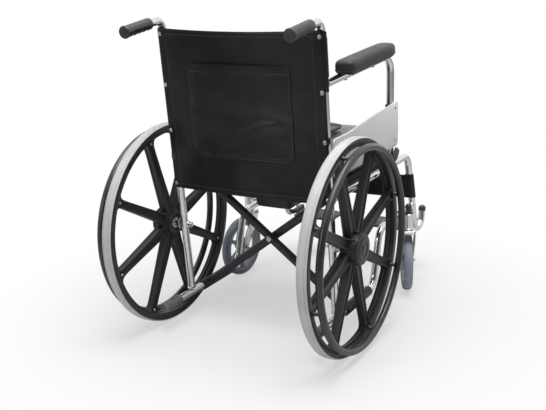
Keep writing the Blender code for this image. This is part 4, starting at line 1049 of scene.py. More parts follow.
    @staticmethod
    def bearing():
        """The bright bearing seen in the dished inner face of the hub."""
        profile = [(-0.0182, 0.0084), (-0.0196, 0.0086), (-0.02, 0.0118), (-0.0192, 0.0128)]
        profile += [(-0.02, 0.0134), (-0.0202, 0.0148), (-0.0196, 0.0155), (-0.0178, 0.0156)]
        return lathe(profile + [(-0.0178, 0.0084), profile[0]], AXLE, (1, 0, 0), 48)

    @staticmethod
    def rim_screw():
        """The screw at a spoke's end, on the wheel's inner face, in its small boss."""
        out = Vector((0, sin(SPOKE_TURN), cos(SPOKE_TURN)))
        seat = AXLE + out * 0.266 + Vector((-0.0098, 0, 0))
        return screw(seat, (-1, 0, 0), SCREW_RADIUS, 0.0032)

    @staticmethod
    def ring():
        """The push ring: a round coated tube with a moulding line inside."""
        profile = arc((RING_STANDOFF, RING_RADIUS), 0.01, 0, 2 * pi, 20)[:-1]
        return lathe(profile + profile[:1], AXLE, (1, 0, 0), 128)

    @staticmethod
    def lug():
        """The stand-off that holds the push ring at a spoke."""
        turn = Vector((0, sin(SPOKE_TURN), cos(SPOKE_TURN)))
        foot = AXLE + turn * 0.277 + Vector((0.0148, 0, 0))
        profile = [(0.0, 0.0), (0.0, 0.0068), (0.002, 0.0066), (0.005, 0.005), (0.015, 0.0044)]
        profile += [(0.02, 0.0052), (0.022, 0.0), (0.0, 0.0)]
        return lathe(profile, foot, (1, 0, 0), 16)

    @staticmethod
    def cover():
        """The round hub cover with a raised ring and a shallow dish."""
        profile = [
            (0.0273, 0.0088), (0.0273, 0.0415), (0.028, 0.0425), (0.0325, 0.0425),
            (0.0342, 0.0412), (0.0352, 0.0385), (0.0348, 0.035), (0.0362, 0.0325),
            (0.0365, 0.024), (0.035, 0.0215), (0.0348, 0.015), (0.036, 0.012), (0.0364, 0.0),
            (0.0335, 0.0), (0.0335, 0.0088), (0.0273, 0.0088),
        ]
        return lathe(profile, AXLE, (1, 0, 0), 64)


# Casters, footplates and wheel locks

CASTER_AXLE_HEIGHT = 0.0993706
CASTER_TRAIL = 0.0546
CASTER_TURNS = {"left": radians(5.0), "right": radians(154.5)}
FORK_TOP = 0.216
HINGE_OFFSET, HINGE_HEIGHT = 0.2222, 0.163


def at_stem(side, sign):
    """The matrix that puts a caster drawn at the origin under its stem. It trails along +Y."""
    place = Matrix.Translation(at(sign * CASTER_OFFSET, CASTER_REACH, 0))
    return place @ Matrix.Rotation(-CASTER_TURNS[side], 4, "Z")


def nut(place, way, radius, depth):
    """A hexagon nut with rounded corners and the bolt's end in it."""
    way = Vector(way).normalized()
    place = Vector(place)
    body = soften(tube([place, place + way * depth], radius, sides=6), 0.0006, 2, 20)
    end = pin(place + way * depth * 0.5, place + way * depth * 1.35, radius * 0.52, 16, 0.0005)
    return join(body, end)


def washer(place, way, radius, depth=0.0012):
    """A plain round washer."""
    return lathe([(0, 0), (0, radius), (depth, radius), (depth, 0), (0, 0)], place, way, 28)


class CHAIR_OT_casters(bpy.types.Operator):
    """Build the swivelling front casters: fork, nuts, tyre and spoked wheel"""

    bl_idname = "chair.casters"
    bl_label = "Front casters"

    def execute(self, context):
        axle = Vector((0, CASTER_TRAIL, CASTER_AXLE_HEIGHT))
        fork, bolts = self.fork(axle), self.bolts(axle)
        tyre, wheel = self.tyre(axle), self.wheel(axle)
        plastic = ("roller", "caster_plastic", "grey_plastic", ("caster_wheel",))
        pieces = (
            ("caster_fork_plate", fork, "swivel", "chrome", "chrome", ("caster_fork",)),
            ("caster_bolts", bolts, "swivel", "chrome", "zinc", ()),
            ("caster_solid_tyre", tyre, "roller", "caster_rubber", "caster", ("caster_tyre",)),
            ("caster_spoked_wheel", wheel, *plastic),
        )
        for word, piece, body, slot, finish, nodes in pieces:
            for side, sign in SIDES:
                twin = copy_of(piece, at_stem(side, sign))
                hidden = [f"{node}_{side}" for node in nodes]
                where = f"caster_{body}_{side}"
                dress(twin, f"{word}_{side}", where, slot, finish, 35, hidden)
            bpy.data.objects.remove(piece)
        pair("stem_housing", self.housing(), "frame", "chrome", "chrome", ("caster_housing",))
        return {"FINISHED"}

    @staticmethod
    def fork(axle):
        """A pressed fork: one bent strap with waisted legs and round eyes."""
        inner, wall, crown = 0.018, 0.004, 0.022
        eye = 0.0125
        legs = []
        for face in (-1, 1):
            x = inner if face > 0 else -inner - wall
            edge = [(-crown, FORK_TOP - 0.0003), (-crown, FORK_TOP - 0.016), (-0.012, 0.178)]
            edge += arc((axle.y, axle.z), eye, pi + 0.25, pi - 0.5, 8)
            edge += [(axle.y - 0.002, 0.15), (crown - 0.001, 0.186), (crown, FORK_TOP - 0.016)]
            edge += [(crown, FORK_TOP - 0.0003)]
            leg = plate([Vector((x, y, z)) for y, z in edge], (wall, 0, 0))
            legs.append(soften(leg, 0.0012, 2, 40))
        low = (-inner - wall + 0.0006, -crown + 0.0004, FORK_TOP - 0.01)
        top = block(low, (inner + wall - 0.0006, crown - 0.0004, FORK_TOP), 0.0022, 3)
        race = [(0, 0), (0, 0.015), (0.0022, 0.0168), (0.005, 0.0168), (0.006, 0.0145)]
        race = lathe(race + [(0.006, 0), (0, 0)], (0, 0, FORK_TOP - 0.0062), (0, 0, 1), 36)
        return join(top, race, *legs)

    @staticmethod
    def bolts(axle):
        """The axle bolt with its nuts and washers."""
        face = 0.0221
        parts = [pin(axle - Vector((face, 0, 0)), axle + Vector((face, 0, 0)), 0.004, 16)]
        for way in (-1, 1):
            seat = axle + Vector((way * face, 0, 0))
            parts.append(washer(seat, (way, 0, 0), 0.0092))
            parts.append(nut(seat + Vector((way * 0.0012, 0, 0)), (way, 0, 0), 0.0072, 0.0042))
        return join(*parts)

    @staticmethod
    def tyre(axle):
        """A solid tyre with a round tread, seated on the caster's rim."""
        half, radius, seat = 0.014, 0.0993, 0.0822
        profile = [(-half * 0.85, seat), (-half * 0.98, seat + 0.0012), (-half, seat + 0.004)]
        for step in range(13):
            turn = pi * step / 12
            profile.append((-half * cos(turn), radius - 0.009 + 0.009 * sin(turn) ** 0.8))
        profile += [(half, seat + 0.004), (half * 0.98, seat + 0.0012)]
        profile += [(half * 0.85, seat), profile[0]]
        return lathe(profile, axle, (1, 0, 0), 80)

    @staticmethod
    def wheel(axle):
        """A moulded wheel with a stepped rim, six ribbed spokes and a bearing hub."""
        rim = [
            (-0.011, 0.082), (-0.0112, 0.08), (-0.0112, 0.0762), (-0.01, 0.0748),
            (-0.003, 0.0736), (0.003, 0.0736), (0.01, 0.0748), (0.0112, 0.0762),
            (0.0112, 0.08), (0.011, 0.082), (-0.011, 0.082),
        ]
        hub = [(-0.0158, 0.0042), (-0.0158, 0.0105), (-0.015, 0.0122), (-0.012, 0.015)]
        hub += [(-0.0105, 0.0182)]
        hub += [(-along, out) for along, out in hub[::-1]] + [hub[0]]
        bar = block((-0.007, -0.006, 0.016), (0.007, 0.006, 0.075), 0.0015, 2)
        foot = block((-0.0075, -0.01, 0.069), (0.0075, 0.01, 0.0745), 0.002, 2)
        bar = join(bar, foot)
        bar.data.transform(Matrix.Translation(axle))
        parts = [lathe(rim, axle, (1, 0, 0), 80), lathe(hub, axle, (1, 0, 0), 40)]
        return join(*parts, round_about(bar, axle, (1, 0, 0), 6))

    @staticmethod
    def housing():
        """The stem's housing on its welded arm, with a rolled lip and a bearing cup."""
        foot = at(CASTER_OFFSET, CASTER_REACH, FORK_TOP + FLOOR_CLEARANCE)
        profile = [(0.0, 0.0), (0.0, 0.0152), (0.0012, 0.0168), (0.006, 0.0168), (0.0072, 0.0158)]
        profile += [(0.048, 0.0158), (0.0492, 0.0168), (0.053, 0.0168), (0.0544, 0.0156)]
        profile += [(0.0547, 0.0), (0.0, 0.0)]
        barrel = lathe(profile, foot, (0, 0, 1), 48)
        low = at(0.2523, CASTER_REACH - 0.0112, 0.239)
        high = at(0.28, CASTER_REACH + 0.0112, 0.261)
        return join(barrel, block(low, high, 0.003, 3))


class CHAIR_OT_footplates(bpy.types.Operator):
    """Mould the flip-up footplates with their raised treads and hinges"""

    bl_idname = "chair.footplates"
    bl_label = "Footplates"

    def execute(self, context):
        pair("tread_plate", self.tread(), "footrest", "black_plastic", "moulded", ("footplate",))
        pair("hinge_ears", self.hinge(), "frame", "black_plastic", "moulded", ("footplate_hinge",))
        return {"FINISHED"}

    @staticmethod
    def tread():
        """The plate with its ribs and front lip, and the barrel that turns on the hinge pin."""
        low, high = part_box("footplate_left")
        inner, outer = low.x, 0.2102
        front, rear = low.y, AXLE_PLACE - 0.624
        corner = 0.02
        spots = arc((inner + corner, front + corner), corner, pi, pi / 2, 6)
        spots += [(outer, front), (outer, rear)]
        spots += arc((inner + corner, rear - corner), corner, pi / 2, pi / 2, 6)
        base = plate([Vector((x, y, 0.1492)) for x, y in spots], (0, 0, 0.0086))
        parts = [soften(base, 0.0022, 3, 50)]
        for index in range(9):
            x = inner + 0.018 + index * 0.0148
            rib = (x, front + 0.012, 0.1572), (x + 0.006, rear - 0.012, 0.159)
            parts.append(block(*rib, 0.0009, 2))
        lip = (inner + 0.022, front + 0.0012, 0.156), (outer - 0.004, front + 0.0062, 0.159)
        parts.append(block(*lip, 0.0012, 2))
        near, far = barrel_span()
        barrel = [(0.0, 0.004), (0.0, 0.0068), (0.0008, 0.0075), (0.043, 0.0075)]
        barrel += [(0.0438, 0.0068), (0.0438, 0.004), (0.0, 0.004)]
        barrel = [(along / 0.0438 * (far - near), out) for along, out in barrel]
        parts.append(lathe(barrel, Vector((HINGE_OFFSET, near, HINGE_HEIGHT)), (0, 1, 0), 32))
        parts.append(block((0.2002, near, 0.15), (0.2165, far, 0.16), 0.0015, 2))
        return join(*parts)

    @staticmethod
    def hinge():
        """Two ears and the pin between them."""
        low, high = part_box("footplate_hinge_left")
        near, far = barrel_span()
        ears = []
        for start, end in ((low.y, near - 0.0003), (far + 0.0003, high.y)):
            ears.append(block((0.2147, start, 0.1555), (0.2297, end, 0.1705), 0.0025, 3))
        start, end = [(HINGE_OFFSET, y, HINGE_HEIGHT) for y in (low.y + 0.003, high.y - 0.003)]
        return join(*ears, pin(start, end, 0.0035, 20))


def barrel_span():
    """Where the footplate's hinge barrel starts and ends along the chair."""
    low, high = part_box("footplate_hinge_left")
    return low.y + 0.0143, high.y - 0.0143


# Arm pads, side guards, wheel locks, axles and braces

OUTER_FACE = 0.2523
PAD_TILT = -atan(ARM_SLOPE)
LOCK_TILT = radians(43.0)
SHOE_FACE = 0.2586
PIVOT_HEIGHT = 0.26202
BRACE_FRONT_REACH = -0.111
BRACE_REAR_REACH = -0.085
SEAT_RAIL_HEIGHT, SEAT_RAIL_OFFSET = 0.4244, 0.215
SEAT_RAIL_FRONT, SEAT_RAIL_REAR = -0.392, -0.012
BRACE_RADIUS = 0.0125


def tilted(piece, centre, angle):
    """Turn a piece about a sideways line through a point."""
    there = Matrix.Translation(centre)
    piece.data.transform(there @ Matrix.Rotation(angle, 4, "X") @ there.inverted())
    return piece


class CHAIR_OT_arm_pads(bpy.types.Operator):
    """Mould the padded armrests on their saddles"""

    bl_idname = "chair.arm_pads"
    bl_label = "Arm pads"

    def execute(self, context):
        low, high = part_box("arm_pad_left")
        middle = (low + high) / 2
        length, width, depth = 0.305, 0.06, 0.04
        half = Vector((width / 2, length / 2, depth / 2))
        pad = block(middle - half, middle + half, 0.0125, 5)
        self.crown(pad, middle, half)
        base = block(
            middle - Vector((0.021, length / 2 - 0.016, depth / 2 + 0.0004)),
            middle + Vector((0.021, length / 2 - 0.016, -depth / 2 + 0.003)),
            0.0012,
            2,
        )
        seam = self.seam(middle, half)
        for piece in (pad, base, seam):
            tilted(piece, middle, PAD_TILT)
        saddles = self.saddles()
        pair("armrest_pad", pad, "frame", "arm_pad", "foam", ("arm_pad",))
        pair("armrest_base", join(base, seam), "frame", "arm_pad", "moulded")
        pair("armrest_screws", saddles, "frame", "chrome", "zinc")
        return {"FINISHED"}

    @staticmethod
    def crown(pad, middle, half):
        """Round the ends off and sink the pad's sides a little below its middle."""
        for _ in range(2):
            subdivide(pad, 1)
        for vert in pad.data.vertices:
            spot = vert.co - middle
            along = abs(spot.y) / half.y
            round_end = max(0.0, along - 0.8) / 0.2
            spot.x *= 1 - 0.16 * round_end**2
            spot.z *= 1 - 0.1 * round_end**2
            if spot.z > 0:
                spot.z -= 0.003 * (abs(spot.x) / half.x) ** 2
            vert.co = middle + spot

    @staticmethod
    def seam(middle, half):
        """The moulding line round the pad's lower edge."""
        spots = []
        wide, deep = (half.x - 0.0155) * 0.97, half.y - 0.0155
        for index, (side, end) in enumerate(((1, 1), (-1, 1), (-1, -1), (1, -1))):
            spots += arc((side * wide, end * deep), 0.015, pi / 2 * index, pi / 2, 6)
        spots = [middle + Vector((x, y, -half.z * 0.42)) for x, y in spots]
        return tube(spots + [spots[0]], 0.0011, bend=0.0, sides=6)

    @staticmethod
    def saddles():
        """Screws with washers that hold the pad to the arm tube from below."""
        parts = []
        for reach in (-0.275, -0.09):
            seat = at(FRAME_OFFSET, reach, arm_height(reach) - 0.011)
            parts.append(washer(seat, (0, 0, -1), 0.0058))
            parts.append(screw(seat - Vector((0, 0, 0.001)), (0, 0, -1), 0.0046, 0.003))
        return join(*parts)


CLIP_PLACES = ((0.512, ARM_POST_REACH), (0.607, ARM_POST_REACH), (0.512, cane_reach(0.512)))


class CHAIR_OT_side_panels(bpy.types.Operator):
    """Cut the pale side guards and fix them with black clips"""

    bl_idname = "chair.side_panels"
    bl_label = "Side guards"

    def execute(self, context):
        pair("side_guard", self.panel(), "frame", "side_panel", "guard", ("side_panel",))
        pair("guard_clips", self.clips(), "frame", "black_plastic", "moulded")
        pair("guard_screws", self.screws(), "frame", "chrome", "zinc")
        return {"FINISHED"}

    @staticmethod
    def panel():
        """The guard's outline, with the slightly bent top edge that falls to the rear."""
        front, rear, bottom = -0.435, 0.018, 0.488
        spots = [
            (front, bottom + 0.01), (front, 0.619), (front + 0.006, 0.625), (-0.2285, 0.6104),
            (-0.069, 0.5958), (rear - 0.005, 0.5944), (rear, 0.589), (rear, bottom + 0.01),
            (rear - 0.01, bottom), (front + 0.01, bottom),
        ]
        sheet = plate([at(OUTER_FACE, reach, height) for reach, height in spots], (0.005, 0, 0))
        return soften(sheet, 0.0016, 3, 40)

    @staticmethod
    def clips():
        """Two-part clips that hold the guard to the arm post and the cane."""
        parts = []
        for height, reach in CLIP_PLACES:
            hub = at(FRAME_OFFSET, reach, height - 0.0095)
            ring = [(0, 0.0113), (0, 0.0136), (0.0012, 0.0148), (0.0178, 0.0148)]
            ring += [(0.019, 0.0136), (0.019, 0.0113), (0, 0.0113)]
            way = (0, CANE_RAKE if reach > -0.2 else 0, 1)
            parts.append(lathe(ring, hub, Vector(way).normalized(), 32))
        return join(*parts)

    @staticmethod
    def screws():
        """One screw through the guard at each clip."""
        parts = []
        for height, reach in CLIP_PLACES:
            spot = at(OUTER_FACE + 0.005, min(reach, 0.011), height)
            parts.append(screw(spot, (1, 0, 0), 0.0052, 0.0024))
        return join(*parts)


class CHAIR_OT_wheel_locks(bpy.types.Operator):
    """Build the push-to-lock brakes: bracket, shoe arm, lever and grip"""

    bl_idname = "chair.wheel_locks"
    bl_label = "Wheel locks"

    def execute(self, context):
        pivot = at(0, -0.352, 0.412)
        shoe = at(0, -0.33, 0.38)
        black = "black_steel"
        pair("lock_plate", self.bracket(), "frame", black, black, ("lock_bracket",))
        pair("lock_pins", self.pins(pivot, shoe), "frame", "chrome", "zinc")
        pair("lock_shoe_arm", self.shoe(shoe), "lock_arm", black, black, ("lock_shoe",))
        lever, grip = self.lever(pivot)
        pair("lock_lever_bar", lever, "lock_handle", black, black, ("lock_lever",))
        pair("lock_lever_grip", grip, "lock_handle", "grip_rubber", "rubber", ("lock_grip",))
        return {"FINISHED"}

    @staticmethod
    def bracket():
        """The bracket's plate on the side rail, with its two nuts."""
        edge = [(-0.3616, 0.439), (-0.3616, 0.4024), (-0.3396, 0.3704), (-0.3204, 0.3704)]
        edge += [(-0.3204, 0.439)]
        leaf = soften(plate([at(OUTER_FACE, *spot) for spot in edge], (0.004, 0, 0)), 0.001, 2, 40)
        bolts = []
        for reach in (-0.351, -0.331):
            bolts.append(nut(at(OUTER_FACE + 0.004, reach, 0.4285), (1, 0, 0), 0.0052, 0.003))
        return join(leaf, *bolts)

    @staticmethod
    def pins(pivot, shoe):
        """The rivets on which the lever and the shoe's arm turn."""
        head = [(0, 0), (0, 0.0062), (0.0012, 0.0058), (0.0022, 0.003), (0.0024, 0)]
        parts = []
        for spot, far in ((pivot, 0.2655), (shoe, 0.2612)):
            start = Vector((OUTER_FACE + 0.0005, spot.y, spot.z))
            end = Vector((far, spot.y, spot.z))
            parts.append(pin(start, end, 0.0038, 20))
            parts.append(lathe(head, end, (1, 0, 0), 24))
        return join(*parts)

    @staticmethod
    def shoe(pivot):
        """A pressed arm with a round end and a knurled bar that presses on the tyre."""
        end = at(0, -0.2905, 0.4284)
        way = Vector((0, end.y - pivot.y, end.z - pivot.z)).normalized()
        side = Vector((0, -way.z, way.y))
        spots = []
        for centre, first in ((end, 0.0), (pivot, pi)):
            middle = Vector((SHOE_FACE, centre.y, centre.z))
            for along, aside in arc((0, 0), 0.0062, first - pi / 2, pi, 8):
                spots.append(middle + way * along + side * aside)
        bar = soften(plate(spots, (0.0036, 0, 0)), 0.0007, 2, 40)
        rod = [(0.0, 0.0), (0.0, 0.006)]
        for groove in range(9):
            start = 0.008 + groove * 0.0048
            rod += [(start, 0.006), (start + 0.0006, 0.0054)]
            rod += [(start + 0.0012, 0.0054), (start + 0.0018, 0.006)]
        rod += [(0.051, 0.006), (0.052, 0.005), (0.052, 0.0), (0.0, 0.0)]
        foot = Vector((SHOE_FACE, end.y, end.z))
        return join(bar, lathe(rod, foot, (1, 0, 0), 28))

    @staticmethod
    def lever(pivot):
        """The flat lever and its ribbed grip, leaning back with the lock off."""
        up = Vector((0, -sin(LOCK_TILT), cos(LOCK_TILT)))
        low = Vector((0.2629, pivot.y, pivot.z))
        bar_low = (0.2609, pivot.y - 0.0078, pivot.z - 0.0078)
        bar_high = (0.2649, pivot.y + 0.0078, pivot.z + 0.06)
        bar = tilted(block(bar_low, bar_high, 0.0011, 2), low, LOCK_TILT)
        middle = low + up * 0.0743
        grip = block(Vector((0.2574, -0.0108, -0.02)), Vector((0.2684, 0.0108, 0.02)), 0.0042, 4)
        ribs = []
        for index in range(4):
            spot = -0.01 + index * 0.0062
            ribs.append(block((0.257, -0.0112, spot), (0.2688, 0.0112, spot + 0.0022), 0.001, 2))
        grip = join(grip, *ribs)
        place = Matrix.Translation(Vector((0, middle.y, middle.z)))
        grip.data.transform(place @ Matrix.Rotation(LOCK_TILT, 4, "X"))
        return bar, grip


class CHAIR_OT_axles(bpy.types.Operator):
    """Weld the round axle bosses to the canes and fit the axles and their nuts"""

    bl_idname = "chair.axles"
    bl_label = "Axles"

    def execute(self, context):
        spot = Vector((OUTER_FACE, AXLE.y, AXLE.z))
        boss = [(0.0, 0.0), (0.0, 0.0185), (0.003, 0.0185), (0.004, 0.0172), (0.004, 0.0)]
        boss = lathe(boss + [boss[0]], spot, (1, 0, 0), 40)
        rod = pin((OUTER_FACE + 0.001, AXLE.y, AXLE.z), (0.327, AXLE.y, AXLE.z), 0.008, 28)
        lock = nut((0.2563, AXLE.y, AXLE.z), (1, 0, 0), 0.014, 0.01)
        inner = Vector((FRAME_OFFSET - 0.0102, AXLE.y, AXLE.z))
        profile = [(0, 0), (0, 0.01), (0.0035, 0.0085), (0.004, 0), (0, 0)]
        seat = lathe(profile, inner, (-1, 0, 0), 28)
        cap = nut(inner - Vector((0.0038, 0, 0)), (-1, 0, 0), 0.0092, 0.008)
        ring = washer((0.2563, AXLE.y, AXLE.z), (1, 0, 0), 0.0165, 0.0014)
        piece = join(boss, rod, lock, ring, seat, cap)
        pair("axle_plate", piece, "frame", "chrome", "chrome", ("axle",))
        return {"FINISHED"}


class CHAIR_OT_braces(bpy.types.Operator):
    """Build the folding cross brace with its sleeves, seat rails and pivot bolt"""

    bl_idname = "chair.braces"
    bl_label = "Cross brace"

    def execute(self, context):
        for word, node, side, reach, body in (
            ("cross_tube_a", "brace_a", 1, BRACE_FRONT_REACH, "brace_front"),
            ("cross_tube_b", "brace_b", -1, BRACE_REAR_REACH, "brace_rear"),
        ):
            piece = self.brace(side, reach)
            dress(piece, word, body, "black_steel", "black_steel", 35, (node,))
        bolt = self.bolt()
        dress(bolt, "cross_bolt", "brace_centre", "chrome", "zinc", 35, ("pivot_bolt",))
        return {"FINISHED"}

    @staticmethod
    def brace(side, reach):
        """One leg with the sleeve at its foot, the seat rail on its head and its pivot boss."""
        foot = at(side * FRAME_OFFSET, reach, LOWER_RAIL_HEIGHT)
        aside = -side * SEAT_RAIL_OFFSET
        head = at(aside, reach, SEAT_RAIL_HEIGHT)
        way = (head - foot).normalized()
        leg = tube([foot + way * 0.014, head - way * 0.009], BRACE_RADIUS, sides=32)
        sleeve = [(0.0, 0.0113), (0.0, 0.015), (0.001, 0.0155), (0.17, 0.0155), (0.171, 0.015)]
        sleeve += [(0.171, 0.0113), (0.0, 0.0113)]
        lower = lathe(sleeve, at(side * FRAME_OFFSET, -0.239, LOWER_RAIL_HEIGHT), (0, 1, 0), 40)
        ends = [at(aside, end, SEAT_RAIL_HEIGHT) for end in (SEAT_RAIL_FRONT, SEAT_RAIL_REAR)]
        rail = tube(ends, 0.011, sides=32)
        beads = [
            weld_ring(foot + way * 0.015, way, BRACE_RADIUS),
            weld_ring(head - way * 0.0105, -way, BRACE_RADIUS),
        ]
        boss = [(-0.0129, 0.0), (-0.0129, 0.0095), (0.0129, 0.0095), (0.0129, 0.0)]
        boss = lathe(boss, at(0, reach, PIVOT_HEIGHT), (0, 1, 0), 28)
        return join(leg, lower, rail, boss, *beads)

    @staticmethod
    def bolt():
        rear = at(0, -0.0722, PIVOT_HEIGHT)
        front = at(0, -0.1238, PIVOT_HEIGHT)
        head = [(0, 0), (0, 0.0086), (0.0008, 0.009), (0.003, 0.0084), (0.0052, 0.0055)]
        parts = [
            pin(front, rear, 0.004, 20),
            lathe(head + [(0.0058, 0.0), (0, 0)], rear, (0, 1, 0), 32),
            washer(front, (0, -1, 0), 0.0088),
            nut(front - Vector((0, 0.0012, 0)), (0, -1, 0), 0.0076, 0.0044),
        ]
        return join(*parts)


# Back sling with its pocket, and the calf strap

CLOTH_HALF = 0.0012
SLEEVE_RADIUS = 0.013
BACK_LOW, BACK_HIGH = 0.42, 0.876
BACK_SAG = 0.014
BACK_TOP_SLACK, BACK_TOP_SAG, CORNER_DROP = 0.78, 0.006, 0.007
BACK_SCREWS = (0.432, 0.59, 0.72, 0.861)
POCKET_HALF, POCKET_LOW, POCKET_HIGH = 0.158, 0.525, 0.785
POCKET_CORNER = 0.03
POCKET_CREASES = (
    (0.65, 0.05, 0.011, 0.0056), (0.684, 0.04, 0.024, -0.0052), (0.568, -0.3, 0.011, 0.005),
    (0.592, -0.42, 0.014, -0.0065), (0.752, -0.03, 0.0035, 0.0026), (0.743, 0.05, 0.0035, -0.0022),
    (0.734, -0.05, 0.004, 0.0026),
)
SLEEVE_OPEN, SLEEVE_TURN = 0.7235, radians(38)
STRAP_LOW, STRAP_HIGH = 0.2785, 0.3605
BACK_SWEEP, STRAP_SWEEP = radians(235), radians(300)


def woven(columns, rows, spot):
    """A grid of cloth. spot gives the place for one column value and one row value."""
    begin()
    across_count, along_count = len(columns) - 1, len(rows) - 1
    bpy.ops.mesh.primitive_grid_add(x_subdivisions=across_count, y_subdivisions=along_count, size=2)
    piece = bpy.context.object
    for vert in piece.data.vertices:
        column = round((vert.co.x + 1) / 2 * across_count)
        row = round((vert.co.y + 1) / 2 * along_count)
        vert.co = spot(columns[column], rows[row])
    return piece


def thicken(piece, depth):
    """Give a sheet of cloth its thickness, half to each side."""
    settle(piece)
    return apply_modifier(piece, "SOLIDIFY", thickness=depth, offset=0.0, use_even_offset=True)


def split_columns(sweep, steps):
    """Columns of a sling's span between its two sleeve seams, and of the sleeve at each side."""
    flat = [("flat", share) for share in spread(-1.0, 1.0, 60)]
    turns = [sweep * step / steps for step in range(1, steps + 1)]
    right = [("turn", -1, turn) for turn in turns[::-1]] + flat[:3]
    left = flat[-3:] + [("turn", 1, turn) for turn in turns]
    return flat[2:-2], left, right


def close_span(piece):
    """Give the piece a mesh of its own."""
    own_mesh(piece)


def stitches(spots, length, gap=0.0022, radius=0.00042):
    """A row of short raised stitches along a line of points."""
    stitch = pin((0, 0, 0), (0, 0, length), radius, 5)
    parts = []
    run, along = 0.0, 0.0
    for start, end in zip(spots, spots[1:]):
        way = (end - start).normalized()
        span = (end - start).length
        while along < run + span - length:
            place = Matrix.Translation(start + way * (along - run))
            parts.append(copy_of(stitch, place @ way.to_track_quat("Z", "X").to_matrix().to_4x4()))
            along += length + gap
        run += span
    bpy.data.objects.remove(stitch)
    return join(*parts)


def behind_back(x, height):
    """The rear face of the back sling, with its sag, its tension folds and its slack."""
    share = min(1.0, abs(x) / FRAME_OFFSET)
    sag = BACK_SAG * (1 - share**2)
    slack = noise.noise(Vector((x * 7.0, height * 5.0, 0.7))) * 0.006
    slack += noise.noise(Vector((x * 20.0 + height * 9.0, height * 12.0, 3.1))) * 0.003
    pull = 0.0
    for screw_height in BACK_SCREWS:
        out = FRAME_OFFSET - abs(x)
        up = height - screw_height
        far = hypot(out, up)
        fan = atan2(up, max(out, 1e-5))
        pull += 0.0026 * exp(-far / 0.055) * (1 - exp(-far / 0.012)) * cos(7 * fan)
    edge = min(BACK_HIGH - height, height - BACK_LOW)
    free = (1 - share**4) * min(1.0, edge / 0.03 + 0.25)
    return cane_reach(height) + SLEEVE_RADIUS + sag + (slack + pull) * max(0.0, free)


def on_back(x, height, lift):
    """A point this far proud of the sling's rear face."""
    return at(x, behind_back(x, height) + lift, height)


def sagged(x, height):
    """The height of a level line of the sling: its top edge hangs a little between the canes."""
    near = min(1.0, max(0.0, (height - BACK_TOP_SLACK) / (BACK_HIGH - BACK_TOP_SLACK)))
    return height - BACK_TOP_SAG * near**2 * (1 - min(1.0, abs(x) / FRAME_OFFSET) ** 2)


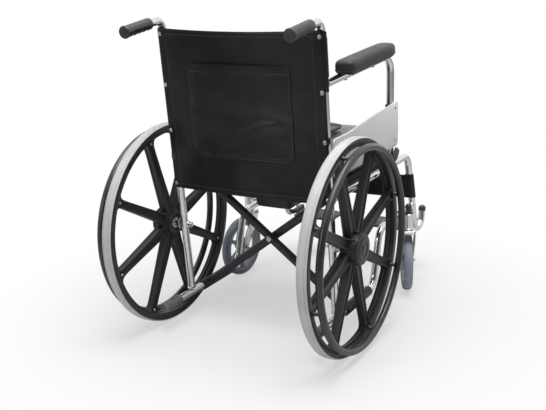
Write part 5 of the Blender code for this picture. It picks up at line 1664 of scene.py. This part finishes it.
class CHAIR_OT_back(bpy.types.Operator):
    """Sew the back sling round the canes, with its hems, pocket, stitches and screws"""

    bl_idname = "chair.back"
    bl_label = "Back sling"

    def execute(self, context):
        length = context.scene.chair_sizes.stitch_length
        sling, *sleeves = self.sling()
        pocket = self.pocket()
        for piece, word, finish, nodes in (
            (sling, "back_sling", "vinyl", ("back_upholstery",)),
            (pocket, "back_pocket", "vinyl", ()),
            (self.seams(length), "back_stitches", "thread", ()),
        ):
            dress(piece, word, "frame_left", "black_vinyl", finish, 60, nodes)
            close_span(piece)
        for sleeve, side in zip(sleeves, ("left", "right")):
            dress(sleeve, f"back_sleeve_{side}", f"frame_{side}", "black_vinyl", "vinyl", 60)
        heads = []
        for height in BACK_SCREWS:
            seat = at(FRAME_OFFSET, cane_reach(height) + SLEEVE_RADIUS + CLOTH_HALF, height)
            way = Vector((0, 1, -CANE_RAKE)).normalized()
            heads.append(washer(seat, way, 0.0062, 0.001))
            heads.append(screw(seat + way * 0.0008, way, 0.0046, 0.0026))
        pair("back_screws", join(*heads), "frame", "chrome", "zinc")
        return {"FINISHED"}

    @staticmethod
    def sling():
        """The span behind the canes, and the sleeve round each cane."""
        span, left, right = split_columns(BACK_SWEEP, 16)
        hem = 0.017
        rows = [BACK_LOW, BACK_LOW + 0.0015, BACK_LOW + hem - 0.001, BACK_LOW + hem + 0.001]
        rows += spread(BACK_LOW + hem + 0.008, BACK_HIGH - hem - 0.008, 44)
        rows += [BACK_HIGH - hem - 0.001, BACK_HIGH - hem + 0.001, BACK_HIGH - 0.0015, BACK_HIGH]

        def spot(column, height):
            doubled = 0.0007 if height < BACK_LOW + hem or height > BACK_HIGH - hem else 0.0
            if height in (BACK_LOW, BACK_HIGH):
                doubled = -0.0004
            if column[0] == "flat":
                x = column[1] * FRAME_OFFSET
                height = sagged(x, height)
                return Vector((x, AXLE_PLACE + behind_back(x, height) + doubled, height))
            side, turn = column[1], column[2]
            near_top = max(0.0, (height - 0.856) / 0.02)
            height -= CORNER_DROP * near_top**2 * (turn / radians(120)) ** 1.5
            out = SLEEVE_RADIUS + doubled * 0.5
            if turn > radians(190):
                out -= 0.0004
            return at(
                side * (FRAME_OFFSET + out * sin(turn)),
                cane_reach(height) + out * cos(turn) * hypot(1, CANE_RAKE),
                height,
            )

        pieces = [woven(span, rows, spot)]
        pieces += [notch_sleeves(woven(columns, rows, spot)) for columns in (left, right)]
        return [thicken(piece, 2 * CLOTH_HALF) for piece in pieces]

    @staticmethod
    def pocket():
        """The pocket: a second sheet, slack at its mouth and sewn on three sides."""
        columns = spread(-1.0, 1.0, 48)
        rows = spread(POCKET_LOW, POCKET_LOW + POCKET_CORNER, 8)[:-1]
        rows += spread(POCKET_LOW + POCKET_CORNER, POCKET_HIGH - 0.022, 30)
        rows += [POCKET_HIGH - 0.0205, POCKET_HIGH - 0.01, POCKET_HIGH - 0.0015, POCKET_HIGH]

        def spot(column, height):
            rise = height - POCKET_LOW
            half = POCKET_HALF
            if rise < POCKET_CORNER:
                half -= POCKET_CORNER - (POCKET_CORNER**2 - (POCKET_CORNER - rise) ** 2) ** 0.5
            x = column * half
            inside = min(1.0, (1 - abs(column)) / 0.16) * min(1.0, rise / 0.035)
            share = rise / (POCKET_HIGH - POCKET_LOW)
            slack = 0.0016 + 0.0052 * share**2 * (1 - column**2)
            slack += noise.noise(Vector((x * 13.0 + 5.0, height * 16.0, 9.0))) * 0.0026
            for crease, lean, width, depth in POCKET_CREASES:
                off = height - crease - lean * x
                fade = 0.6 + 0.8 * noise.noise(Vector((x * 9.0, crease * 50, 2)))
                slack -= depth * exp(-((off / width) ** 2)) * fade
            hem = 0.0006 if height > POCKET_HIGH - 0.0215 else 0.0
            away = 2 * CLOTH_HALF + 0.0003 + max(0.0, slack) * inside + hem
            if abs(column) > 0.97 or rise < 0.004:
                away -= 0.0003
            return Vector((x, AXLE_PLACE + behind_back(x, height) + away, height))

        return thicken(woven(columns, rows, spot), 1.5 * CLOTH_HALF)

    @staticmethod
    def seams(length):
        """Stitches along the hems, the sleeves and the pocket's edge."""
        proud = CLOTH_HALF + 0.0001
        parts = []
        for height in (BACK_LOW + 0.0135, BACK_HIGH - 0.0135):
            lift = proud + 0.0007
            parts.append([on_back(x, sagged(x, height), lift) for x in spread(-0.226, 0.226, 40)])
        for x in (-0.2225, 0.2225):
            heights = spread(0.4385, 0.858, 40)
            parts.append([on_back(x, sagged(x, height), proud) for height in heights])
        inset, corner = 0.0045, POCKET_CORNER - 0.0045
        half, low = POCKET_HALF - inset, POCKET_LOW + inset
        mouth, bend = POCKET_HIGH - 0.002, low + corner
        spots = [(-half, height) for height in spread(mouth, bend, 24)]
        spots += arc((-half + corner, bend), corner, pi, pi / 2, 8)[1:-1]
        spots += [(x, low) for x in spread(-half + corner, half - corner, 24)]
        spots += arc((half - corner, bend), corner, -pi / 2, pi / 2, 8)[1:-1]
        spots += [(half, height) for height in spread(bend, mouth, 24)]
        lift = 2 * CLOTH_HALF + 0.0003 + 1.5 * CLOTH_HALF / 2 + 0.0004
        inner = 1 - 0.0065 / POCKET_HALF
        edge = [on_back(x, height, lift) for x, height in spots]
        twin = [on_back(x * inner, height + 0.0065, lift) for x, height in spots[20:-20]]
        hem = spread(-half + 0.004, half - 0.004, 24)
        parts += [edge, twin, [on_back(x, POCKET_HIGH - 0.02, lift + 0.005) for x in hem]]
        return join(*[stitches(spots, length) for spots in parts])


def notch_sleeves(piece):
    """Cut the sleeves away: below the arm tube the cloth only turns a little way round the cane."""
    edit(piece, "FACE")
    bpy.ops.mesh.select_all(action="DESELECT")
    bpy.ops.object.mode_set(mode="OBJECT")
    for face in piece.data.polygons:
        middle = face.center
        rear = middle.y - AXLE_PLACE - cane_reach(middle.z)
        turn = atan2(abs(middle.x) - FRAME_OFFSET, rear)
        ahead = rear < -0.001
        low = middle.z < SLEEVE_OPEN and (ahead or turn > SLEEVE_TURN)
        face.select = low or ahead and (middle.z < ARM_CANE_HEIGHT + 0.016 or middle.z > 0.855)
    bpy.ops.object.mode_set(mode="EDIT")
    bpy.ops.mesh.delete(type="FACE")
    bpy.ops.object.mode_set(mode="OBJECT")
    return piece


class CHAIR_OT_calf_strap(bpy.types.Operator):
    """Sew the calf strap round both front tubes"""

    bl_idname = "chair.calf_strap"
    bl_label = "Calf strap"

    def execute(self, context):
        length = context.scene.chair_sizes.stitch_length
        strap, *sleeves = self.strap()
        rows = []
        for height in (STRAP_LOW + 0.006, STRAP_HIGH - 0.006):
            shares = spread(-0.92, 0.92, 40)
            line = [self.spot(("flat", share), height) + Vector((0, 0.0015, 0)) for share in shares]
            rows.append(stitches(line, length))
        for piece, word, finish, nodes in (
            (strap, "calf_sling", "vinyl", ("calf_strap",)),
            (join(*rows), "calf_stitches", "thread", ()),
        ):
            dress(piece, word, "frame_left", "black_vinyl", finish, 60, nodes)
            close_span(piece)
        for sleeve, side in zip(sleeves, ("left", "right")):
            dress(sleeve, f"calf_sleeve_{side}", f"frame_{side}", "black_vinyl", "vinyl", 60)
        return {"FINISHED"}

    @staticmethod
    def spot(column, height):
        """A point of the strap: slightly bowed between the tubes, round at each sleeve."""
        if column[0] == "flat":
            x = column[1] * FRAME_OFFSET
            bow = 0.012 * (1 - column[1] ** 2)
            ripple = noise.noise(Vector((x * 12.0, height * 14.0, 5.0)))
            slack = ripple * 0.0022 * (1 - column[1] ** 4)
            off = (height - (STRAP_LOW + STRAP_HIGH) / 2) / 0.041
            curl = 0.002 * off**2 * (1 - column[1] ** 2)
            return at(x, front_reach(height) + SLEEVE_RADIUS * 1.02 + bow + slack + curl, height)
        side, turn = column[1], column[2]
        reach = front_reach(height) + SLEEVE_RADIUS * cos(turn) * hypot(1, FRONT_TUBE_SLOPE)
        return at(side * (FRAME_OFFSET + SLEEVE_RADIUS * sin(turn)), reach, height)

    def strap(self):
        """The span between the front tubes, and the sleeve round each."""
        rows = [STRAP_LOW, STRAP_LOW + 0.0012] + spread(STRAP_LOW + 0.008, STRAP_HIGH - 0.008, 10)
        rows += [STRAP_HIGH - 0.0012, STRAP_HIGH]
        parts = split_columns(STRAP_SWEEP, 18)
        return [thicken(woven(columns, rows, self.spot), 0.0024) for columns in parts]


# Seat board, padded seat and lid, and the commode pan

SEAT_HALF = 0.226
SEAT_REAR, SEAT_FRONT = -0.004, -0.426
SEAT_LOW, SEAT_HIGH = 0.454, 0.552
PAN_REACH = -0.156
HOLE_RADIUS = 0.101
PAN_RIM_HEIGHT = 0.5523
LID_HALF, LID_REAR, LID_FRONT = 0.14, -0.012, -0.3
LID_LOW, LID_HIGH = 0.5566, 0.577
SIM_FRAMES = 20
PAN_SQUARE = 8.0


def rounded_loop(half_x, near, far, corner, height, steps=8):
    """Points round a rectangle with round corners, at one height."""
    middle, half_y = (near + far) / 2, abs(near - far) / 2
    spots = []
    for index, (side, end) in enumerate(((1, 1), (-1, 1), (-1, -1), (1, -1))):
        for step in range(steps + 1):
            turn = pi / 2 * (index + step / steps)
            x = side * (half_x - corner) + corner * cos(turn)
            spots.append(at(x, middle + end * (half_y - corner) + corner * sin(turn), height))
    return spots + [spots[0]]


def piping(spots, radius=0.0022):
    """The thin cord sewn into a seam."""
    return tube(spots, radius, bend=0.0, sides=8)


def stuff(piece, voxel, pressure, most, held, limit):
    """Fill a cover: remesh it, blow it up as cloth with its seams held, and keep it in bounds."""
    only(piece)
    piece.data.remesh_voxel_size = voxel
    bpy.ops.object.voxel_remesh()
    start = [vert.co.copy() for vert in piece.data.vertices]
    group = piece.vertex_groups.new(name="held")
    group.add([vert.index for vert in piece.data.vertices if held(vert.co)], 1.0, "REPLACE")
    bpy.ops.object.modifier_add(type="CLOTH")
    cloth = piece.modifiers[-1]
    cloth.settings.vertex_group_mass = "held"
    cloth.settings.use_pressure = True
    cloth.settings.uniform_pressure_force = pressure
    cloth.settings.quality = 4
    cloth.settings.effector_weights.gravity = 0
    for number in range(1, SIM_FRAMES + 1):
        bpy.context.scene.frame_set(number)
    bpy.ops.object.modifier_apply(modifier=cloth.name)
    bpy.context.scene.frame_set(1)
    for vert, old in zip(piece.data.vertices, start):
        move = vert.co - old
        if move.length > most:
            vert.co = old + move * (most / move.length)
        vert.co = limit(vert.co)
    apply_modifier(piece, "SMOOTH", factor=0.5, iterations=4)
    subdivide(piece, 1)
    for vert in piece.data.vertices:
        vert.co = limit(vert.co)
    return piece


class CHAIR_OT_seat(bpy.types.Operator):
    """Upholster the seat with its hole on its board"""

    bl_idname = "chair.seat"
    bl_label = "Padded seat"

    def execute(self, context):
        low_corner = at(-SEAT_HALF, SEAT_RAIL_FRONT, 0.4357)
        board = block(low_corner, at(SEAT_HALF, SEAT_RAIL_REAR, 0.4537), 0.0035, 2)
        board = carve(board, self.bore(HOLE_RADIUS))
        dress(board, "seat_board", "seat", "seat_fabric", "cloth", 35, ("seat_base",))
        top, low = SEAT_HIGH - 0.012, SEAT_LOW + 0.01
        inner_x, inner_near, inner_far = SEAT_HALF - 0.006, SEAT_REAR - 0.006, SEAT_FRONT + 0.006
        low_corner = at(-inner_x, inner_far, SEAT_LOW + 0.0005)
        pad = block(low_corner, at(inner_x, inner_near, SEAT_HIGH - 0.006), 0.017, 4)
        pad = carve(pad, self.bore(HOLE_RADIUS + 0.003))

        def held(spot):
            reach = spot.y - AXLE_PLACE
            hub = hypot(spot.x, reach - PAN_REACH)
            edge = min(inner_x - abs(spot.x), inner_near - reach, reach - inner_far)
            near_seam = edge < 0.0045 and (abs(spot.z - top) < 0.004 or abs(spot.z - low) < 0.004)
            return near_seam or hub < HOLE_RADIUS + 0.006 or spot.z < SEAT_LOW + 0.003

        def limit(spot):
            reach = spot.y - AXLE_PLACE
            away = Vector((spot.x, reach - PAN_REACH))
            if away.length < HOLE_RADIUS and away.length > 0:
                away *= HOLE_RADIUS / away.length
            out = max(abs(spot.x) - LID_HALF, LID_FRONT - reach, 0.0)
            high = SEAT_HIGH + 0.01 * min(1.0, max(0.0, out - 0.004) / 0.035)
            x = max(-SEAT_HALF, min(SEAT_HALF, away.x))
            y = max(SEAT_FRONT, min(SEAT_REAR, PAN_REACH + away.y))
            return at(x, y, max(SEAT_LOW, min(high, spot.z)))

        pad = stuff(pad, 0.006, 4.0, 0.012, held, limit)
        dress(pad, "seat_pad", "seat", "seat_fabric", "pad_vinyl", 60, ("seat_cushion",))
        loop = inner_x + 0.0008, inner_near + 0.0008, inner_far - 0.0008, 0.018
        cords = [piping(rounded_loop(*loop, height)) for height in (top, low)]
        ring = arc((0, PAN_REACH), HOLE_RADIUS + 0.0035, 0, 2 * pi, 72)
        cords.append(piping([at(x, reach, SEAT_HIGH - 0.005) for x, reach in ring], 0.0016))
        cord = dress(join(*cords), "seat_piping", "seat", "seat_fabric", "pad_vinyl", 60)
        for piece in (board, pad, cord):
            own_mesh(piece)
        return {"FINISHED"}

    @staticmethod
    def bore(radius):
        """The cutter for the pan's hole."""
        return pin(at(0, PAN_REACH, 0.4), at(0, PAN_REACH, 0.6), radius, 96)


class CHAIR_OT_lid(bpy.types.Operator):
    """Upholster the lid that lies over the pan"""

    bl_idname = "chair.lid"
    bl_label = "Padded lid"

    def execute(self, context):
        half, near, far = LID_HALF - 0.004, LID_REAR - 0.004, LID_FRONT + 0.004
        low_corner = at(-half + 0.004, far + 0.004, LID_LOW)
        board = block(low_corner, at(half - 0.004, near - 0.004, LID_LOW + 0.0045), 0.0012, 2)
        pad = block(at(-half, far, LID_LOW + 0.0032), at(half, near, LID_HIGH - 0.004), 0.0085, 4)
        seam = LID_LOW + 0.0085

        def held(spot):
            return spot.z < LID_LOW + 0.006 or abs(spot.z - seam) < 0.0015

        def limit(spot):
            reach = spot.y - AXLE_PLACE
            return at(
                max(-LID_HALF, min(LID_HALF, spot.x)),
                max(LID_FRONT, min(LID_REAR, reach)),
                max(LID_LOW + 0.0032, min(LID_HIGH + 0.002, spot.z)),
            )

        pad = stuff(pad, 0.0045, 4.0, 0.008, held, limit)
        dress(pad, "lid_pad", "lid", "seat_fabric", "pad_vinyl", 60, ("lid_cushion",))
        dress(board, "lid_board", "lid", "seat_fabric", "moulded", 35)
        loop = rounded_loop(half + 0.0006, near + 0.0006, far - 0.0006, 0.0088, seam)
        cord = piping(loop, 0.0018)
        dress(cord, "lid_piping", "lid", "seat_fabric", "pad_vinyl", 60)
        return {"FINISHED"}


class CHAIR_OT_pan(bpy.types.Operator):
    """Mould the commode pan with its rolled rim and stepped foot"""

    bl_idname = "chair.pan"
    bl_label = "Commode pan"

    def execute(self, context):
        rim = PAN_RIM_HEIGHT
        outer = [
            (0.349, 0.0), (0.349, 0.051), (0.35, 0.0545), (0.354, 0.0572), (0.364, 0.0595),
            (0.43, 0.074), (0.49, 0.0868), (0.525, 0.095), (0.533, 0.098),
            (0.5402, 0.099),
        ]
        flange = [(0.5404, 0.1062), (0.5412, 0.107), (0.5434, 0.107), (0.5442, 0.106)]
        flange += [(0.5442, 0.0985)]
        inner = [
            (height + 0.0008, radius - 0.003) for height, radius in outer[:0:-1] if radius > 0.046
        ]
        inner = [spot for spot in inner if spot[0] > 0.356]
        profile = outer + flange + inner + [(0.355, 0.043), (0.355, 0.0), outer[0]]
        profile = [(height - rim, radius) for height, radius in profile]
        shell = lathe(profile, at(0, PAN_REACH, rim), (0, 0, 1), 96)
        for vert in shell.data.vertices:
            self.square_off(vert.co)
        dress(shell, "pan_shell", "pan", "pan_plastic", "pan", 35, ("commode_pan",))
        return {"FINISHED"}

    @staticmethod
    def square_off(spot):
        """Draw the pan's lower part out into a square with round corners."""
        share = min(1.0, max(0.0, (0.5 - spot.z) / 0.12))
        away = Vector((spot.x, spot.y - AXLE_PLACE - PAN_REACH))
        if share and away.length > 0.005:
            turn = atan2(away.y, away.x)
            across, along = abs(cos(turn)) ** PAN_SQUARE, abs(sin(turn)) ** PAN_SQUARE
            reach = (across + along) ** (-1 / PAN_SQUARE)
            away *= 1 + (reach - 1) * share
            spot.x, spot.y = away.x, AXLE_PLACE + PAN_REACH + away.y


# Floor, light and camera

CAMERA_PLACE = (-1.19324, 2.21055, 1.05764)
CAMERA_WAY = (0.474234, -0.835192, -0.278491)
CAMERA_RIGHT = (-0.873617, -0.485604, -0.031335)
CAMERA_LENS = 56.885
ROOM_WAY = (-0.474234, 0.835192, -0.1)
STUDIO_SIZE = 14.0
LAMPS = (
    ("overhead_light", (-0.4, 0.3, 3.2), 2.4, 130.0),
    ("key_light", (1.0, 3.4, 2.0), 1.2, 19.0),
)
WORLD_LEVEL = 0.24
ROOM_DARK, ROOM_BRIGHT = 0.1, 1.15
FLOOR_WHITE = 0.55


class CHAIR_OT_stage(bpy.types.Operator):
    """Lay the floor, hang the lamps and set the camera at the photograph's view"""

    bl_idname = "chair.stage"
    bl_label = "Floor, light and camera"

    def execute(self, context):
        begin()
        bpy.ops.mesh.primitive_plane_add(size=STUDIO_SIZE, location=(0, 0, -FLOOR_CLEARANCE))
        floor = context.object
        floor.name = "studio_floor"
        floor.data.materials.append(self.floor_material())
        for name, place, size, power in LAMPS:
            bpy.ops.object.light_add(type="AREA", location=place)
            lamp = context.object
            lamp.name = name
            lamp.data.size = size
            lamp.data.energy = power
            aim = Vector((0, 0, 0.4)) - Vector(place)
            lamp.rotation_euler = aim.to_track_quat("-Z", "Y").to_euler()
        self.light_world(context)
        self.place_camera(context)
        return {"FINISHED"}

    @staticmethod
    def floor_material():
        """A pale floor that keeps the chair's shadow and fades to white around it."""
        floor = Finish("pale_floor", (0.66, 0.66, 0.66), 0.9)
        floor.tint(fine_noise(floor, 1.2), (0.65, 0.65, 0.65), 0.6)
        floor.shader.inputs["Specular IOR Level"].default_value = 0.1
        nodes, link = floor.nodes, floor.link
        place = nodes.new("ShaderNodeTexCoord")
        away = node_of(nodes, "ShaderNodeVectorMath", operation="LENGTH")
        fade = ramp(nodes, 0.42, 1.05)
        fade.inputs["To Min"].default_value = FLOOR_WHITE
        rays = nodes.new("ShaderNodeLightPath")
        share = node_of(nodes, "ShaderNodeMath", operation="MULTIPLY")
        plain = nodes.new("ShaderNodeEmission")
        blend = nodes.new("ShaderNodeMixShader")
        wire(
            link,
            (place, "Object", away, 0), (away, "Value", fade, "Value"), (fade, "Result", share, 0),
            (rays, "Is Camera Ray", share, 1), (share, 0, blend, "Fac"),
            (floor.shader, "BSDF", blend, 1), (plain, "Emission", blend, 2),
            (blend, "Shader", nodes["Material Output"], "Surface"),
        )
        return floor.material

    @staticmethod
    def light_world(context):
        """Soft even light, plain white where it is seen, and a dim side for reflections."""
        world = bpy.data.worlds.new("studio")
        context.scene.world = world
        world.use_nodes = True
        nodes, link = world.node_tree.nodes, world.node_tree.links.new
        nodes.clear()
        rays = nodes.new("ShaderNodeLightPath")
        seen = node_of(nodes, "ShaderNodeMath", operation="MAXIMUM")
        level = node_of(nodes, "ShaderNodeMapRange", [("To Min", WORLD_LEVEL), ("To Max", 1.0)])
        way = nodes.new("ShaderNodeTexCoord")
        toward = node_of(nodes, "ShaderNodeVectorMath", [(1, ROOM_WAY)], operation="DOT_PRODUCT")
        room = ramp(nodes, -0.55, 0.95)
        room.inputs["To Min"].default_value = ROOM_BRIGHT
        room.inputs["To Max"].default_value = ROOM_DARK
        shown = nodes.new("ShaderNodeMix")
        back = node_of(nodes, "ShaderNodeBackground", [("Color", (1, 1, 1, 1))])
        end = nodes.new("ShaderNodeOutputWorld")
        wire(
            link,
            (rays, "Is Camera Ray", seen, 0), (rays, "Is Transmission Ray", seen, 1),
            (seen, 0, level, "Value"), (way, "Generated", toward, 0),
            (toward, "Value", room, "Value"), (rays, "Is Glossy Ray", shown, "Factor"),
            (level, "Result", shown, "A"), (room, "Result", shown, "B"),
            (shown, "Result", back, "Strength"), (back, "Background", end, "Surface"),
        )

    @staticmethod
    def place_camera(context):
        way, right = Vector(CAMERA_WAY), Vector(CAMERA_RIGHT)
        turn = Matrix((right, right.cross(way), -way)).transposed()
        bpy.ops.object.camera_add(location=CAMERA_PLACE, rotation=turn.to_euler())
        camera = context.object
        camera.name = "photo_camera"
        camera.data.lens = CAMERA_LENS
        camera.data.sensor_width = 36.0
        camera.data.clip_start = 0.05
        camera.data.clip_end = 60.0
        context.scene.camera = camera
        context.scene.view_settings.view_transform = "Standard"


PIECE_OPERATORS = [
    CHAIR_OT_finish_frame,
    CHAIR_OT_frame_tubes,
    CHAIR_OT_grips,
    CHAIR_OT_rear_wheels,
    CHAIR_OT_casters,
    CHAIR_OT_footplates,
    CHAIR_OT_arm_pads,
    CHAIR_OT_side_panels,
    CHAIR_OT_wheel_locks,
    CHAIR_OT_axles,
    CHAIR_OT_braces,
    CHAIR_OT_back,
    CHAIR_OT_calf_strap,
    CHAIR_OT_seat,
    CHAIR_OT_lid,
    CHAIR_OT_pan,
]


class CHAIR_PT_panel(bpy.types.Panel):
    """The chair's sizes, colours and pieces"""

    bl_idname = "CHAIR_PT_panel"
    bl_label = "Commode wheelchair"
    bl_space_type = "VIEW_3D"
    bl_region_type = "UI"
    bl_category = "Wheelchair"

    def draw(self, context):
        layout = self.layout
        for group in (context.scene.chair_sizes, context.scene.chair_colours):
            box = layout.box()
            for key in group.__annotations__:
                box.prop(group, key)
        for kind in PIECE_OPERATORS + [CHAIR_OT_stage]:
            layout.operator(kind.bl_idname)


CLASSES = [ChairSizes, ChairColours, *PIECE_OPERATORS, CHAIR_OT_stage, CHAIR_PT_panel]


def register():
    for kind in CLASSES:
        bpy.utils.register_class(kind)
    bpy.types.Scene.chair_sizes = PointerProperty(type=ChairSizes)
    bpy.types.Scene.chair_colours = PointerProperty(type=ChairColours)


def unregister():
    del bpy.types.Scene.chair_colours
    del bpy.types.Scene.chair_sizes
    for kind in reversed(CLASSES):
        bpy.utils.unregister_class(kind)


def main():
    register()
    scene = bpy.context.scene
    FINISHES.update(make_finishes(scene.chair_sizes, scene.chair_colours))
    for kind in PIECE_OPERATORS + [CHAIR_OT_stage]:
        group, word = kind.bl_idname.split(".")
        getattr(getattr(bpy.ops, group), word)()
    begin()


if __name__ == "__main__":
    main()
